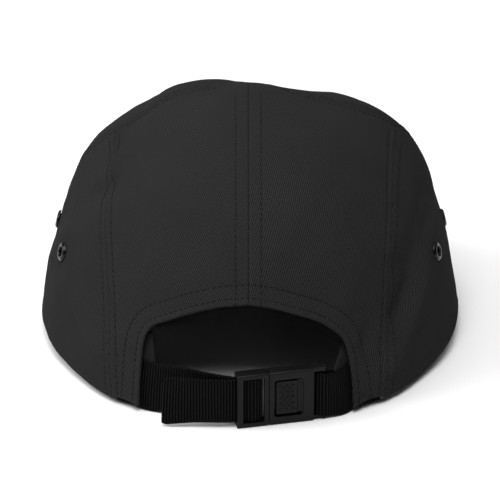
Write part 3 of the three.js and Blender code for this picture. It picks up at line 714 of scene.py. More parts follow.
# Narrow creases that only the look has: turn, up, to turn, to up, half width and height in millimetres
CREASES = (
    (-67, 0.45, -36, 0.08, 2.0, 1.89),
    (-59, 0.44, -43, 0.25, 3.6, -1.62),
    (-84, 0.61, -52, 0.49, 2.2, 1.22),
    (-79, 0.55, -53, 0.43, 3.4, -1.76),
    (-83, 0.53, -69, 0.44, 1.7, 0.68),
    (-75, 0.3, -58, 0.17, 2.2, 0.61),
    (-38, 0.37, -30, 0.16, 3.0, -1.22),
    (-80, 0.83, -86, 0.72, 2.2, 0.54),
    (-74, 0.85, -78, 0.72, 2.0, -0.47),
    (50, 0.91, 77, 0.67, 2.4, 1.08),
    (68, 0.93, 84, 0.66, 7.0, -1.62),
    (61, 0.31, 41, 0.1, 2.0, 0.94),
    (83, 0.31, 62, 0.24, 2.4, 0.68),
    (58, 0.22, 46, 0.08, 3.0, -0.68),
)


CREASE_STEPS = 8


def crease_height(points):
    height = np.zeros(points.shape[:-1])
    shares = np.linspace(0, 1, CREASE_STEPS + 1)
    for turn, up, to_turn, to_up, half, out in CREASES:
        line = smooth_wall(mix(turn, to_turn, shares), mix(up, to_up, shares))
        nearest = np.full(points.shape[:-1], np.inf)
        faded = np.zeros(points.shape[:-1])
        for number, (start, end) in enumerate(zip(line, line[1:])):
            along = end - start
            share = np.clip(((points - start) @ along) / (along @ along), 0, 1)
            distance = np.linalg.norm(points - start - share[..., None] * along, axis=-1)
            closer = distance < nearest
            nearest = np.where(closer, distance, nearest)
            faded = np.where(closer, np.sin(math.pi * (number + share) / CREASE_STEPS), faded)
        height += out * faded * np.exp(-((nearest / (half * (0.6 + 0.6 * faded))) ** 2))
    return height


# The table of lengths is closer towards the top, where the wall turns level
TABLE_POWER = 2.6
TABLE_TURNS = 90
TABLE_UPS = 160
# Shares of the way up between which the weave changes from upright to flat
FLAT_TOP = (0.7, 0.93)


class ClothMap:
    """Lengths round and up the crown, from a table, for laying the weave"""

    def __init__(self):
        self.turns = np.linspace(0, 180, TABLE_TURNS + 1)
        ups = 1 - np.linspace(1, 0, TABLE_UPS + 1) ** TABLE_POWER
        grid = smooth_wall(self.turns[:, None], ups[None])
        self.round = lengths_along(grid, 0)
        self.climb = lengths_along(grid, 1)

    def read(self, table, turn, up):
        column = np.clip(turn / 180 * TABLE_TURNS, 0, TABLE_TURNS - 0.001)
        row = (1 - np.maximum(1 - up, 0) ** (1 / TABLE_POWER)) * TABLE_UPS
        row = np.clip(row, 0, TABLE_UPS - 0.001)
        left, low = column.astype(int), row.astype(int)
        across, upward = column - left, row - low
        near = mix(table[left, low], table[left, low + 1], upward)
        far = mix(table[left + 1, low], table[left + 1, low + 1], upward)
        return mix(near, far, across)

    def weave(self, turn, up, centre, angle, flat_top=True):
        """Millimetres across and along the twill lines, which lie at an angle to the level"""
        wrapped = (turn - centre + 180) % 360 - 180
        about = np.abs((turn + 180) % 360 - 180)
        side = np.sign(wrapped)
        at_centre = self.read(self.round, np.full_like(up, centre), up)
        across = side * np.abs(self.read(self.round, about, up) - at_centre)
        upward = self.read(self.climb, about, up)
        if flat_top:
            top = self.climb[:, -1]
            radius = np.interp(about, self.turns, top) - upward
            share = smooth(up, *FLAT_TOP)
            across = mix(across, radius * sine(wrapped), share)
            upward = mix(upward, np.interp(centre, self.turns, top) - radius * cosine(wrapped), share)
        lean = angle * DEGREE
        return np.stack([
            across * math.sin(lean) - upward * math.cos(lean),
            across * math.cos(lean) + upward * math.sin(lean),
        ], -1)


CLOTH_MAP = ClothMap()


def crown_panel(name, turn, up, weave, material, hole=None):
    """A panel over a grid of turns and shares of the way up"""
    features = panel_features(name)
    base = wall(turn, up)
    normal = wall_normal(turn, up)
    height, drop = relief(base, features)
    outer = base + normal * (height - drop)[..., None]
    inner = base + normal * (height * 0.6 + drop - CLOTH)[..., None]
    return cloth_shell(name + "_cloth", outer, inner, weave, material, hole)


def back_panel(name, side, material):
    """Half of the back: from the arch out to the side seam and the front seam"""
    turn, up = arch_turns(side)
    arch = np.stack([np.abs(turn), up], -1)
    low = seam_samples(side_seam, 0, JUNCTION_UP, 200)
    high = seam_samples(front_seam, JUNCTION_UP, 1, 300)
    outer = np.concatenate([np.stack(high, -1)[::-1], np.stack(low, -1)[::-1][1:]])
    outer_points = smooth_wall(side * outer[:, 0], outer[:, 1])
    inner_points = wall(side * arch[:, 0], arch[:, 1])
    shares = close_steps(BACK_COLUMNS, [lengths_along(outer_points, 0)[-1]])[0]
    outer_map = resample(to_map(*outer.T), shares, outer_points)
    arch_map = resample(to_map(*arch.T), shares, inner_points)
    coarse = np.linspace(0, 1, 40)[None, :, None]
    trial_turn, trial_up = from_map(mix(arch_map[:, None], outer_map[:, None], coarse))
    lengths = lengths_along(smooth_wall(trial_turn, trial_up), 1)[:, -1]
    rows = close_steps(BACK_ROWS, lengths)[..., None]
    turn, up = from_map(mix(arch_map[:, None], outer_map[:, None], rows))
    turn[0] = 0
    weave = CLOTH_MAP.weave(side * turn, up, 0, TWILL_ANGLES[name])
    return crown_panel(name, side * turn, up, weave, material)


def overlap_turn(turn, up):
    """How far a panel reaches past its seam, as a turn"""
    arc = np.linalg.norm(smooth_wall(turn + 0.5, up) - smooth_wall(turn - 0.5, up), axis=-1)
    return SEAM_OVERLAP / 2 / np.maximum(arc, 0.05)


def side_panel(name, side, material):
    rows = close_steps(SIDE_ROWS, [SIDE_LENGTH])[0]
    up = (1 - (1 - rows) ** 1.15) * (JUNCTION_UP - 0.004)
    rear, front = side_seam(up), front_seam(up)
    lengths = np.linalg.norm(smooth_wall(rear, up) - smooth_wall(front, up), axis=-1)
    shares = close_steps(SIDE_COLUMNS, lengths).T
    up = np.broadcast_to(up, shares.shape).copy()
    past = overlap_turn(rear, up[0])
    turn = side * mix((rear - past)[None], (front + past)[None], shares)
    middles = wall((turn[1:, 1:] + turn[:-1, :-1]) / 2, (up[1:, 1:] + up[:-1, :-1]) / 2)
    hole = np.zeros(middles.shape[:-1], bool)
    for where in EYELET_TURNS.values():
        centre, _ = eyelet_place(side, where)
        hole |= np.linalg.norm(middles - centre, axis=-1) < EYELET_BORE / 2 + EYELET_WALL + 0.3
    weave = CLOTH_MAP.weave(turn, up, 0, TWILL_ANGLES[name], flat_top=False)
    return crown_panel(name, turn, up, weave, material, hole)


def front_panel(name, material):
    rows = close_steps(FRONT_ROWS, [FRONT_LENGTH])[0]
    dense = 1 - np.linspace(1, 0, 1500) ** 3
    length = lengths_along(smooth_wall(FRONT_MEASURE_TURN, dense), 0)
    up = np.interp(rows * length[-1], length, dense)
    edge = front_seam(up)
    lengths = 2 * np.linalg.norm(smooth_wall(edge, up) - smooth_wall(180, up), axis=-1)
    shares = close_steps(FRONT_COLUMNS, lengths).T
    up = np.broadcast_to(up, shares.shape).copy()
    past = overlap_turn(edge, up[0])
    turn = mix((edge - past)[None], (360 - edge + past)[None], shares)
    weave = CLOTH_MAP.weave(turn, up, 180, TWILL_ANGLES[name])
    return crown_panel(name, turn, up, weave, material)


BACK_COLUMNS = 210
BACK_ROWS = 88
SIDE_ROWS = 84
SIDE_COLUMNS = 106
FRONT_ROWS = 124
FRONT_COLUMNS = 160
# Rough lengths of the side and front panels, for the steps at their edges
SIDE_LENGTH = 75
FRONT_LENGTH = 130
FRONT_MEASURE_TURN = 150
TWILL_ANGLES = {
    "back_panel_left": 62,
    "back_panel_right": 106,
    "side_panel_left": 3,
    "side_panel_right": 128,
    "front_panel": 62,
}

ARCH_EDGE_TURN = math.asin(ARCH_WIDTH / CROWN_WIDTH) / DEGREE
WEB_END_TURN = ARCH_EDGE_TURN + WEB_HIDDEN


def band_offset(turn):
    beside = 1 - smooth(np.abs(turn), WEB_END_TURN + BAND_STEP_START, WEB_END_TURN + BAND_STEP_END)
    free = 1 - smooth(np.abs(turn), ARCH_EDGE_TURN - BAND_END_SPAN, ARCH_EDGE_TURN)
    return CLOTH + mix(BAND_GAP, WEB_THICKNESS + 2 * WEB_GAP, beside) + BAND_END_IN * free


def band_grid(shares, rows):
    """Turns, shares of the way up and offsets of the inner band"""
    left, right = (
        mix(math.asin(end / HALF_WIDTH), math.asin(BAND_TOP_X / HALF_WIDTH), rows) / DEGREE
        for end in (BAND_END_LEFT_X, BAND_END_RIGHT_X)
    )
    turn = (mix(left, 360 - right, shares) + 180) % 360 - 180
    return turn, up_at(turn, mix(BAND_HEM_GAP, BAND_HEIGHT, rows)), band_offset(turn)


BAND_LENGTH = 580
BAND_ROW = 2.4
BAND_GROOVE = 0.18
BAND_PUCKER = 0.1
BAND_SLANT = (0.8, 0.6)
BRIM_SLANT = (0.86, 0.5)


def slanted(across, upward, level, slope):
    """Lengths across and along twill lines that slant over a piece"""
    return np.stack(np.broadcast_arrays(across * level - upward * slope, across * slope + upward * level), -1)


def band_relief(across, upward):
    """Height of the stitch grooves and puckers of the inner band"""
    height = np.zeros(np.broadcast(across, upward).shape)
    for row in (BAND_ROW, BAND_HEIGHT - BAND_ROW):
        distance = np.abs(upward - row)
        height = height - BAND_GROOVE * np.exp(-((distance / GROOVE_HALF) ** 2))
        wave = np.sin(across / 0.9 + 0.9 * np.sin(across / 7.7))
        height = height + BAND_PUCKER * wave * np.exp(-((distance / PUCKER_REACH) ** 2))
    return height


def sweatband(material):
    shares = close_steps(400, [BAND_LENGTH])[0][:, None]
    rows = close_steps(26, [BAND_HEIGHT])[0][None]
    turn, up, offset = band_grid(shares, rows)
    across, upward = shares * BAND_LENGTH, rows * BAND_HEIGHT
    edge = np.minimum(np.minimum(across, BAND_LENGTH - across), np.minimum(upward, BAND_HEIGHT - upward))
    drop = rim_drop(edge, RIM)
    height = band_relief(across, upward)
    outer = wall(turn, up, -offset - drop)
    inner = wall(turn, up, -offset - CLOTH + drop - height)
    weave = slanted(across, upward, *BAND_SLANT)
    return cloth_shell("sweatband_cloth", outer, inner, weave, material)


def brim_grid(steps):
    """Root, direction and reach of the brim at shares of the way round it"""
    step = 1 - np.abs(2 * steps - 1)
    share = mix(step**2, step, 0.35)
    side = np.where(steps < 0.5, 1.0, -1.0)
    turn = side * mix(BRIM_END_TURN, 180, share)
    root = wall(turn, up_at(turn, BRIM_THICKNESS / 2), CLEAR)
    sideways = mix(BRIM_SPLAY, 0, share**BRIM_SPLAY_FADE) * side
    forward = -np.sqrt(1 - sideways**2)
    reach = BRIM_REACH * np.sqrt(1 - (1 - share) ** BRIM_CORNER) + BRIM_THICKNESS
    return root, sideways, forward, reach


def brim_point(steps, out, level=1.0):
    """A point of the brim: out from the crown, and level from its underside to its upper face"""
    root, sideways, forward, reach = brim_grid(steps)
    x = root[..., 0] + sideways * reach * out
    y = root[..., 1] + forward * reach * out
    thickness = BRIM_THICKNESS * mix(1, BRIM_EDGE_SHARE, out)
    edge = (1 - out) * reach
    half = thickness / 2
    inside = np.clip(half - edge, 0, half)
    round_off = half - np.sqrt(np.maximum(half**2 - inside**2, 0))
    groove = np.zeros(np.shape(x))
    for row in BRIM_ROWS:
        groove += BRIM_GROOVE * np.exp(-(((edge - row) / BRIM_GROOVE_HALF) ** 2))
    z = brim_height(x, y) + thickness / 2 + (2 * level - 1) * (half - round_off - groove)
    return np.stack([x, y, z], -1)


BRIM_ROWS = (3.2, 9, 15, 21, 27)
BRIM_GROOVE = 0.14
BRIM_GROOVE_HALF = 0.5


def brim(material):
    steps = np.linspace(0, 1, 201)[:, None]
    _, _, _, reach = brim_grid(steps[:, 0])
    out = close_steps(66, reach)
    outer = brim_point(steps, out)
    inner = brim_point(steps, out, 0.0)
    weave = slanted(outer[..., 0], outer[..., 1], *BRIM_SLANT)
    return cloth_shell("brim_cloth", outer, inner, weave, material)


# Webbing
WEB_MIDDLE = BUCKLE_HEIGHT / 2


def web_at(turn, height):
    offset = -(CLOTH + WEB_GAP + WEB_THICKNESS / 2)
    return wall(turn, up_at(turn, height - smooth_wall(turn, 0)[..., 2]), offset)


def web_lean(x, height):
    """How far the webbing leans at a height: as the wall does beside the arch, upright at the buckle"""
    turn = np.sign(x) * np.arcsin(np.minimum(1, np.abs(x) / HALF_WIDTH)) / DEGREE
    start = np.where(x > 0, LEAN_START_LEFT_X, LEAN_START_RIGHT_X)
    share = smooth(np.abs(x), start, BAND_TOP_X - 2)
    return (web_at(turn, height) - web_at(turn, WEB_MIDDLE)) * share[..., None]


def from_buckle(along, out):
    return np.array([
        BUCKLE_X + along * cosine(BUCKLE_TURN) - out * sine(BUCKLE_TURN),
        BUCKLE_Y + along * sine(BUCKLE_TURN) + out * cosine(BUCKLE_TURN),
    ])


def hidden_run(side):
    return [web_at(side * (ARCH_EDGE_TURN + more), WEB_MIDDLE)[:2]
            for more in (WEB_HIDDEN, WEB_HIDDEN / 2, 0, -WEB_ENTRY)]


LAYER = CENTRE_BAR_THICKNESS / 2 + CLEAR + WEB_THICKNESS / 2
OUTER_BAR_BACK = BUCKLE_THICKNESS / 2 - INSERT_OUTER_BAR_THICKNESS
TAIL_LEVEL = OUTER_BAR_BACK - CLEAR - WEB_THICKNESS / 2
STRAP_LEVEL = min(-LAYER, TAIL_LEVEL - WEB_THICKNESS - CLEAR)


def left_route():
    bar_end = CENTRE_BAR_START + CENTRE_BAR_WIDTH
    turn_start = CENTRE_BAR_START - WEB_THICKNESS / 2 - 2 * CLEAR - LOOP_SLACK
    leave = from_buckle(INSERT_LENGTH + STRAP_EXIT, STRAP_LEVEL - STRAP_SET_BACK)
    tail_leave = from_buckle(INSERT_LENGTH + TAIL_EXIT, TAIL_LEVEL)
    arch = hidden_run(1)[-1]

    def hanging(share):
        return np.array([mix(leave[0], arch[0], share), mix(leave[1], arch[1], share**STRAP_HANG)])

    behind = hanging((TAIL_END_X - leave[0]) / (arch[0] - leave[0]))
    tail_end = np.array([TAIL_END_X, behind[1] + TAIL_SPRING])
    tail_middle = (tail_leave + tail_end) / 2 + np.array([0, TAIL_BULGE])
    return [
        *hidden_run(1),
        *[hanging(share) for share in STRAP_HANG_AT],
        leave,
        from_buckle(INSERT_LENGTH - 1, STRAP_LEVEL),
        from_buckle(bar_end, STRAP_LEVEL),
        from_buckle(CENTRE_BAR_START, -LAYER),
        from_buckle(turn_start + CLEAR, -LAYER * LOOP_ROUND),
        from_buckle(turn_start, 0),
        from_buckle(turn_start + CLEAR, LAYER * LOOP_ROUND),
        from_buckle(CENTRE_BAR_START, LAYER),
        from_buckle((CENTRE_BAR_START + bar_end) / 2, LAYER + CLEAR),
        from_buckle(bar_end, LAYER),
        from_buckle(INSERT_LENGTH - INSERT_OUTER_BAR - 2 * CLEAR, TAIL_LEVEL),
        from_buckle(INSERT_LENGTH - 1, TAIL_LEVEL),
        tail_leave,
        tail_middle,
        tail_end,
    ]


def right_route():
    bar = -(SOCKET_LENGTH + RAIL_LENGTH - END_BAR_DIAMETER / 2)
    wrap = END_BAR_DIAMETER / 2 + CLEAR + WEB_THICKNESS / 2
    arch = hidden_run(-1)[-1]
    front = from_buckle(bar - LOOP_CLOSE, wrap - LOOP_PINCH)
    return [
        *hidden_run(-1),
        (arch + front) / 2 + np.array([0, LOOP_BOW]),
        front,
        from_buckle(bar, wrap),
        from_buckle(bar + wrap + LOOP_SLACK, 0),
        from_buckle(bar, -wrap),
        from_buckle(bar - LOOP_CLOSE, -wrap + LOOP_PINCH),
        from_buckle(bar - LOOP_END, -wrap + LOOP_PINCH),
    ]


WEB_SPACING = 0.208
TAIL_CORNER = 3.2
TAIL_CORNER_SHARE = 0.55
WEB_EDGE_ROWS = (0, 0.004, 0.014, 0.03)
WEB_FIRST_ROW = 0.055
WEB_ROWS = 17


def plain_webbing(name, route, material, rounded_tail):
    """A ribbon that stands on its edge along a route seen from above, before its ribs are raised"""
    path = catmull(route, WEB_SPACING)
    along = unit(np.gradient(path, axis=0))
    across = np.stack([-along[:, 1], along[:, 0]], -1)
    run = lengths_along(path, 0)
    edges = np.array(WEB_EDGE_ROWS)
    inner = np.linspace(WEB_FIRST_ROW, 1 - WEB_FIRST_ROW, WEB_ROWS)
    rows = np.concatenate([edges, inner, 1 - edges[::-1]])
    half = WEB_THICKNESS / 2
    to_end = np.minimum(run, run[-1] - run)
    tall = np.full(len(path), WEB_WIDTH)
    if rounded_tail:
        into = np.clip(TAIL_CORNER - (run[-1] - run), 0, TAIL_CORNER)
        tall = WEB_WIDTH - 2 * (TAIL_CORNER - np.sqrt(TAIL_CORNER**2 - into**2)) * TAIL_CORNER_SHARE
    drop = STRAP_DROP * smooth(np.abs(path[:, 0]), *STRAP_DROP_X)
    heights = WEB_MIDDLE - drop[:, None] + tall[:, None] * (rows - 0.5)
    x = np.broadcast_to(path[:, 0, None], heights.shape)
    lean = web_lean(x, heights)
    edge = np.minimum(rows, 1 - rows)[None] * tall[:, None]
    inside = np.clip(half - np.minimum(edge, to_end[:, None]), 0, half)
    thick = np.sqrt(half**2 - inside**2)
    sides = []
    for sign in (1, -1):
        plan = path[:, None] + across[:, None] * (sign * thick)[..., None] + lean[..., :2]
        sides.append(np.concatenate([plan, heights[..., None]], -1))
    weave = np.stack([np.broadcast_to(run[:, None], heights.shape), heights], -1)
    return cloth_shell(name, sides[0], sides[1], weave, material)


# Node trees that repeat a shape or follow a line
def wire(tree, kind, values=(), **settings):
    """A new node with its settings, and its inputs set or linked"""
    made = tree.nodes.new(kind)
    for key, value in settings.items():
        setattr(made, key, value)
    for key, value in dict(values).items():
        if isinstance(value, bpy.types.NodeSocket):
            tree.links.new(value, made.inputs[key])
        else:
            made.inputs[key].default_value = value
    return made


def calculate(tree, operation, *values):
    """The output of a Math node"""
    return wire(tree, "ShaderNodeMath", dict(enumerate(values)), operation=operation).outputs[0]


def new_tree(name, kind, inputs, outputs):
    tree = bpy.data.node_groups.new(name, kind)
    for direction, sockets in (("INPUT", inputs), ("OUTPUT", outputs)):
        for label, (socket, value) in sockets.items():
            made = tree.interface.new_socket(label, in_out=direction, socket_type="NodeSocket" + socket)
            if value is not None:
                made.default_value = value
    return tree, tree.nodes.new("NodeGroupInput").outputs, tree.nodes.new("NodeGroupOutput").inputs


def finish_tree(tree, geometry, given, result):
    """Every tree ends with real faces, smooth shading and its material"""
    real = wire(tree, "GeometryNodeRealizeInstances", {"Geometry": geometry})
    soft = wire(tree, "GeometryNodeSetShadeSmooth", {"Geometry": real.outputs[0]})
    painted = wire(tree, "GeometryNodeSetMaterial", {
        "Geometry": soft.outputs[0], "Material": given["Material"]})
    tree.links.new(painted.outputs[0], result["Geometry"])
    return tree


# Least and most size of a stitch, as shares of its length, width and height
STITCH_LEAST = (0.9, 0.85, 0.85)
STITCH_MOST = (1.06, 1.1, 1.1)
STITCH_TILT = 0.09


def stitch_tree():
    tree, given, result = new_tree("Stitch Row", "GeometryNodeTree", {
        "Geometry": ("Geometry", None),
        "Pitch": ("Float", 0.0024),
        "Length": ("Float", 0.0019),
        "Thickness": ("Float", 0.0004),
        "Tilt": ("Float", 0.1),
        "Seed": ("Int", 7),
        "Material": ("Material", None),
    }, {"Geometry": ("Geometry", None)})
    curve = wire(tree, "GeometryNodeMeshToCurve", {"Mesh": given["Geometry"]})
    spaced = wire(tree, "GeometryNodeResampleCurve", {"Curve": curve.outputs[0], "Length": given["Pitch"]},
                  mode="LENGTH")
    half = calculate(tree, "MULTIPLY", given["Length"], 0.5)
    back = calculate(tree, "MULTIPLY", given["Length"], -0.5)
    low = calculate(tree, "MULTIPLY", given["Thickness"], -0.75)
    high = calculate(tree, "MULTIPLY", given["Thickness"], 1.0)
    start = wire(tree, "ShaderNodeCombineXYZ", {"X": back, "Z": low})
    middle = wire(tree, "ShaderNodeCombineXYZ", {"Z": high})
    end = wire(tree, "ShaderNodeCombineXYZ", {"X": half, "Z": low})
    arc = wire(tree, "GeometryNodeCurveQuadraticBezier", {
        "Resolution": 4, "Start": start.outputs[0], "Middle": middle.outputs[0], "End": end.outputs[0]})
    radius = calculate(tree, "MULTIPLY", given["Thickness"], 0.5)
    ring = wire(tree, "GeometryNodeCurvePrimitiveCircle", {"Resolution": 6, "Radius": radius})
    thread = wire(tree, "GeometryNodeCurveToMesh", {
        "Curve": arc.outputs[0], "Profile Curve": ring.outputs[0], "Fill Caps": True})
    outward = wire(tree, "GeometryNodeInputNamedAttribute", {"Name": "out"}, data_type="FLOAT_VECTOR")
    tangent = tree.nodes.new("GeometryNodeInputTangent")
    facing = wire(tree, "FunctionNodeAxesToRotation", {
        "Primary Axis": outward.outputs[0], "Secondary Axis": tangent.outputs[0]},
        primary_axis="Z", secondary_axis="X")
    negative = calculate(tree, "MULTIPLY", given["Tilt"], -1.0)
    least = wire(tree, "ShaderNodeCombineXYZ", {"Y": negative, "Z": negative})
    most = wire(tree, "ShaderNodeCombineXYZ", {"Y": given["Tilt"], "Z": given["Tilt"]})
    lean = wire(tree, "FunctionNodeRandomValue", {
        0: least.outputs[0], 1: most.outputs[0], "Seed": given["Seed"]}, data_type="FLOAT_VECTOR")
    turned = wire(tree, "FunctionNodeEulerToRotation", {0: lean.outputs[0]})
    posed = wire(tree, "FunctionNodeRotateRotation", {0: facing.outputs[0], 1: turned.outputs[0]},
                 rotation_space="LOCAL")
    sized = wire(tree, "FunctionNodeRandomValue", {
        0: STITCH_LEAST, 1: STITCH_MOST, "Seed": given["Seed"]}, data_type="FLOAT_VECTOR")
    placed = wire(tree, "GeometryNodeInstanceOnPoints", {
        "Points": spaced.outputs[0], "Instance": thread.outputs[0],
        "Rotation": posed.outputs[0], "Scale": sized.outputs[0]})
    return finish_tree(tree, placed.outputs[0], given, result)


def rib_tree():
    tree, given, result = new_tree("Woven Ribs", "GeometryNodeTree", {
        "Geometry": ("Geometry", None),
        "Pitch": ("Float", 1.25),
        "Depth": ("Float", 0.0002),
        "Material": ("Material", None),
    }, {"Geometry": ("Geometry", None)})
    run = wire(tree, "GeometryNodeInputNamedAttribute", {"Name": "run"}, data_type="FLOAT")
    turns = calculate(tree, "DIVIDE", run.outputs[0], given["Pitch"])
    hump = calculate(tree, "ABSOLUTE", calculate(tree, "SINE", calculate(tree, "MULTIPLY", turns, math.pi)))
    level = calculate(tree, "SUBTRACT", calculate(tree, "POWER", hump, 0.7), 0.6)
    height = calculate(tree, "MULTIPLY", level, given["Depth"])
    normal = tree.nodes.new("GeometryNodeInputNormal")
    moved = wire(tree, "ShaderNodeVectorMath", {0: normal.outputs[0], "Scale": height}, operation="SCALE")
    raised = wire(tree, "GeometryNodeSetPosition", {
        "Geometry": given["Geometry"], "Offset": moved.outputs[0]})
    return finish_tree(tree, raised.outputs[0], given, result)


def dot_tree():
    tree, given, result = new_tree("Grip Dots", "GeometryNodeTree", {
        "Geometry": ("Geometry", None),
        "Diameter": ("Float", 0.0008),
        "Height": ("Float", 0.5),
        "Material": ("Material", None),
    }, {"Geometry": ("Geometry", None)})
    radius = calculate(tree, "MULTIPLY", given["Diameter"], 0.5)
    ball = wire(tree, "GeometryNodeMeshUVSphere", {"Segments": 10, "Rings": 6, "Radius": radius})
    outward = wire(tree, "GeometryNodeInputNamedAttribute", {"Name": "out"}, data_type="FLOAT_VECTOR")
    facing = wire(tree, "FunctionNodeAxesToRotation", {"Primary Axis": outward.outputs[0]},
                  primary_axis="Z", secondary_axis="X")
    shape = wire(tree, "ShaderNodeCombineXYZ", {"X": 1.0, "Y": 1.0, "Z": given["Height"]})
    points = wire(tree, "GeometryNodeMeshToPoints", {"Mesh": given["Geometry"]})
    placed = wire(tree, "GeometryNodeInstanceOnPoints", {
        "Points": points.outputs[0], "Instance": ball.outputs[0],
        "Rotation": facing.outputs[0], "Scale": shape.outputs[0]})
    return finish_tree(tree, placed.outputs[0], given, result)


def grow(name, source, tree, values):
    """The plain mesh that a node tree makes from a source object, in place of the source"""
    modifier = source.modifiers.new("grow", "NODES")
    modifier.node_group = tree
    for label, value in values.items():
        modifier[tree.interface.items_tree[label].identifier] = value
    bpy.context.view_layer.update()
    evaluated = source.evaluated_get(bpy.context.evaluated_depsgraph_get())
    mesh = bpy.data.meshes.new_from_object(evaluated)
    mesh.name = name
    source.modifiers.remove(modifier)
    old = source.data
    bpy.data.objects.remove(source)
    bpy.data.meshes.remove(old)
    return new_object(name, mesh)


def line_object(name, rows):
    """Edges along rows of points, each with the direction outward"""
    points, outs, edges = [], [], []
    for row, out in rows:
        start = sum(len(part) for part in points)
        points.append(row)
        outs.append(out)
        edges += [(start + k, start + k + 1) for k in range(len(row) - 1)]
    return new_object(name, new_mesh(name, np.concatenate(points), edges, [], {"out": np.concatenate(outs)}))


# Shader groups
def noise(tree, vector, scale, detail):
    """The value of a Noise Texture"""
    return wire(tree, "ShaderNodeTexNoise", {"Vector": vector, "Scale": scale, "Detail": detail}).outputs[0]


def swing(tree, value, size):
    """How far a value lies from its middle, a half, times a size"""
    return calculate(tree, "MULTIPLY", calculate(tree, "SUBTRACT", value, 0.5), size)


def weave_group():
    """Slanting ribs with breaks along each, from lengths across and along them"""
    tree, given, result = new_tree("Woven Lines", "ShaderNodeTree", {
        "Across": ("Float", 0.0),
        "Along": ("Float", 0.0),
        "Pitch": ("Float", 1.0),
        "Break": ("Float", 1.4),
        "Unevenness": ("Float", 0.2),
        "Contrast": ("Float", 0.3),
        "Phase": ("Float", 0.0),
        "Stagger": ("Float", 0.37),
        "Crossing": ("Float", 0.12),
    }, {"Height": ("Float", None), "Shade": ("Float", None)})
    place_at = wire(tree, "ShaderNodeCombineXYZ", {"X": given["Across"], "Y": given["Along"]}).outputs[0]
    bend = swing(tree, noise(tree, place_at, 0.35, 2.0), given["Unevenness"])
    pitches = calculate(tree, "DIVIDE", given["Across"], given["Pitch"])
    lines = calculate(tree, "ADD", calculate(tree, "ADD", pitches, given["Phase"]), bend)
    rib = calculate(tree, "SINE", calculate(tree, "MULTIPLY", lines, 2 * math.pi))
    number = calculate(tree, "FLOOR", calculate(tree, "ADD", lines, 0.25))
    breaks = calculate(tree, "ADD", calculate(tree, "DIVIDE", given["Along"], given["Break"]),
                       calculate(tree, "MULTIPLY", number, given["Stagger"]))
    cross = calculate(tree, "SINE", calculate(tree, "MULTIPLY", breaks, 2 * math.pi))
    raised = calculate(tree, "MULTIPLY_ADD", rib, 0.38, 0.5)
    height = calculate(tree, "MULTIPLY_ADD", cross, given["Crossing"], raised)
    grain = noise(tree, place_at, 1.9, 3.0)
    # The Shade is the random grain plus painted shade in the grooves between the ribs and painted highlight
    # on their crests and crossings, scaled by Contrast
    mixed = calculate(tree, "ADD", calculate(tree, "MULTIPLY", height, 0.7),
                      calculate(tree, "MULTIPLY", grain, 0.6))
    middle = calculate(tree, "SUBTRACT", mixed, 0.65)
    grain_and_painted_rib_shade = calculate(tree, "MULTIPLY_ADD", middle, given["Contrast"], 1.0)
    tree.links.new(mixed, result["Height"])
    tree.links.new(calculate(tree, "MAXIMUM", grain_and_painted_rib_shade, 0.05), result["Shade"])
    return tree


def wash_group():
    """Cloudy fading of washed and handled cloth, from Object coordinates"""
    tree, given, result = new_tree("Cloudy Wash", "ShaderNodeTree", {
        "Size": ("Float", 0.03),
        "Contrast": ("Float", 0.2),
        "Speck": ("Float", 0.1),
    }, {"Shade": ("Float", None), "Fuzz": ("Float", None)})
    at = tree.nodes.new("ShaderNodeTexCoord").outputs["Object"]
    cloud = noise(tree, at, calculate(tree, "DIVIDE", 1.0, given["Size"]), 5.0)
    speck = noise(tree, at, 1500.0, 2.0)
    cloudy = swing(tree, cloud, given["Contrast"])
    fleck = swing(tree, speck, given["Speck"])
    shade = calculate(tree, "ADD", calculate(tree, "ADD", cloudy, fleck), 1.0)
    tree.links.new(shade, result["Shade"])
    tree.links.new(speck, result["Fuzz"])
    return tree


def grain_group():
    """The fine matt grain of moulded plastic and coated metal, from Object coordinates"""
    tree, given, result = new_tree("Fine Grain", "ShaderNodeTree", {
        "Size": ("Float", 0.0004),
        "Patches": ("Float", 0.006),
        "Least": ("Float", 0.4),
        "Most": ("Float", 0.6),
    }, {"Height": ("Float", None), "Roughness": ("Float", None), "Shade": ("Float", None)})
    at = tree.nodes.new("ShaderNodeTexCoord").outputs["Object"]
    fine = noise(tree, at, calculate(tree, "DIVIDE", 1.0, given["Size"]), 3.0)
    broad = noise(tree, at, calculate(tree, "DIVIDE", 1.0, given["Patches"]), 4.0)
    span = calculate(tree, "SUBTRACT", given["Most"], given["Least"])
    tree.links.new(fine, result["Height"])
    tree.links.new(calculate(tree, "MULTIPLY_ADD", broad, span, given["Least"]), result["Roughness"])
    tree.links.new(calculate(tree, "MULTIPLY_ADD", broad, 0.5, 0.75), result["Shade"])
    return tree


def group_named(name, build):
    return bpy.data.node_groups.get(name) or build()


def new_material(name, colour, constants):
    """A material with its plain values on the shader's own sockets"""
    material = bpy.data.materials.new(name)
    material.use_nodes = True
    shader = material.node_tree.nodes["Principled BSDF"]
    shader.inputs["Base Color"].default_value = (*colour, 1)
    for label, value in constants.items():
        shader.inputs[label].default_value = value
    return material, material.node_tree, shader


def shade_colour(tree, shader, colour, *shades):
    """The colour times each varying shade, into Base Color"""
    factor = shades[0]
    for shade in shades[1:]:
        factor = calculate(tree, "MULTIPLY", factor, shade)
    tinted = wire(tree, "ShaderNodeVectorMath", {0: colour, "Scale": factor}, operation="SCALE")
    tree.links.new(tinted.outputs[0], shader.inputs["Base Color"])


def bump(tree, shader, height, distance, strength):
    made = wire(tree, "ShaderNodeBump", {"Height": height, "Distance": distance, "Strength": strength})
    tree.links.new(made.outputs[0], shader.inputs["Normal"])


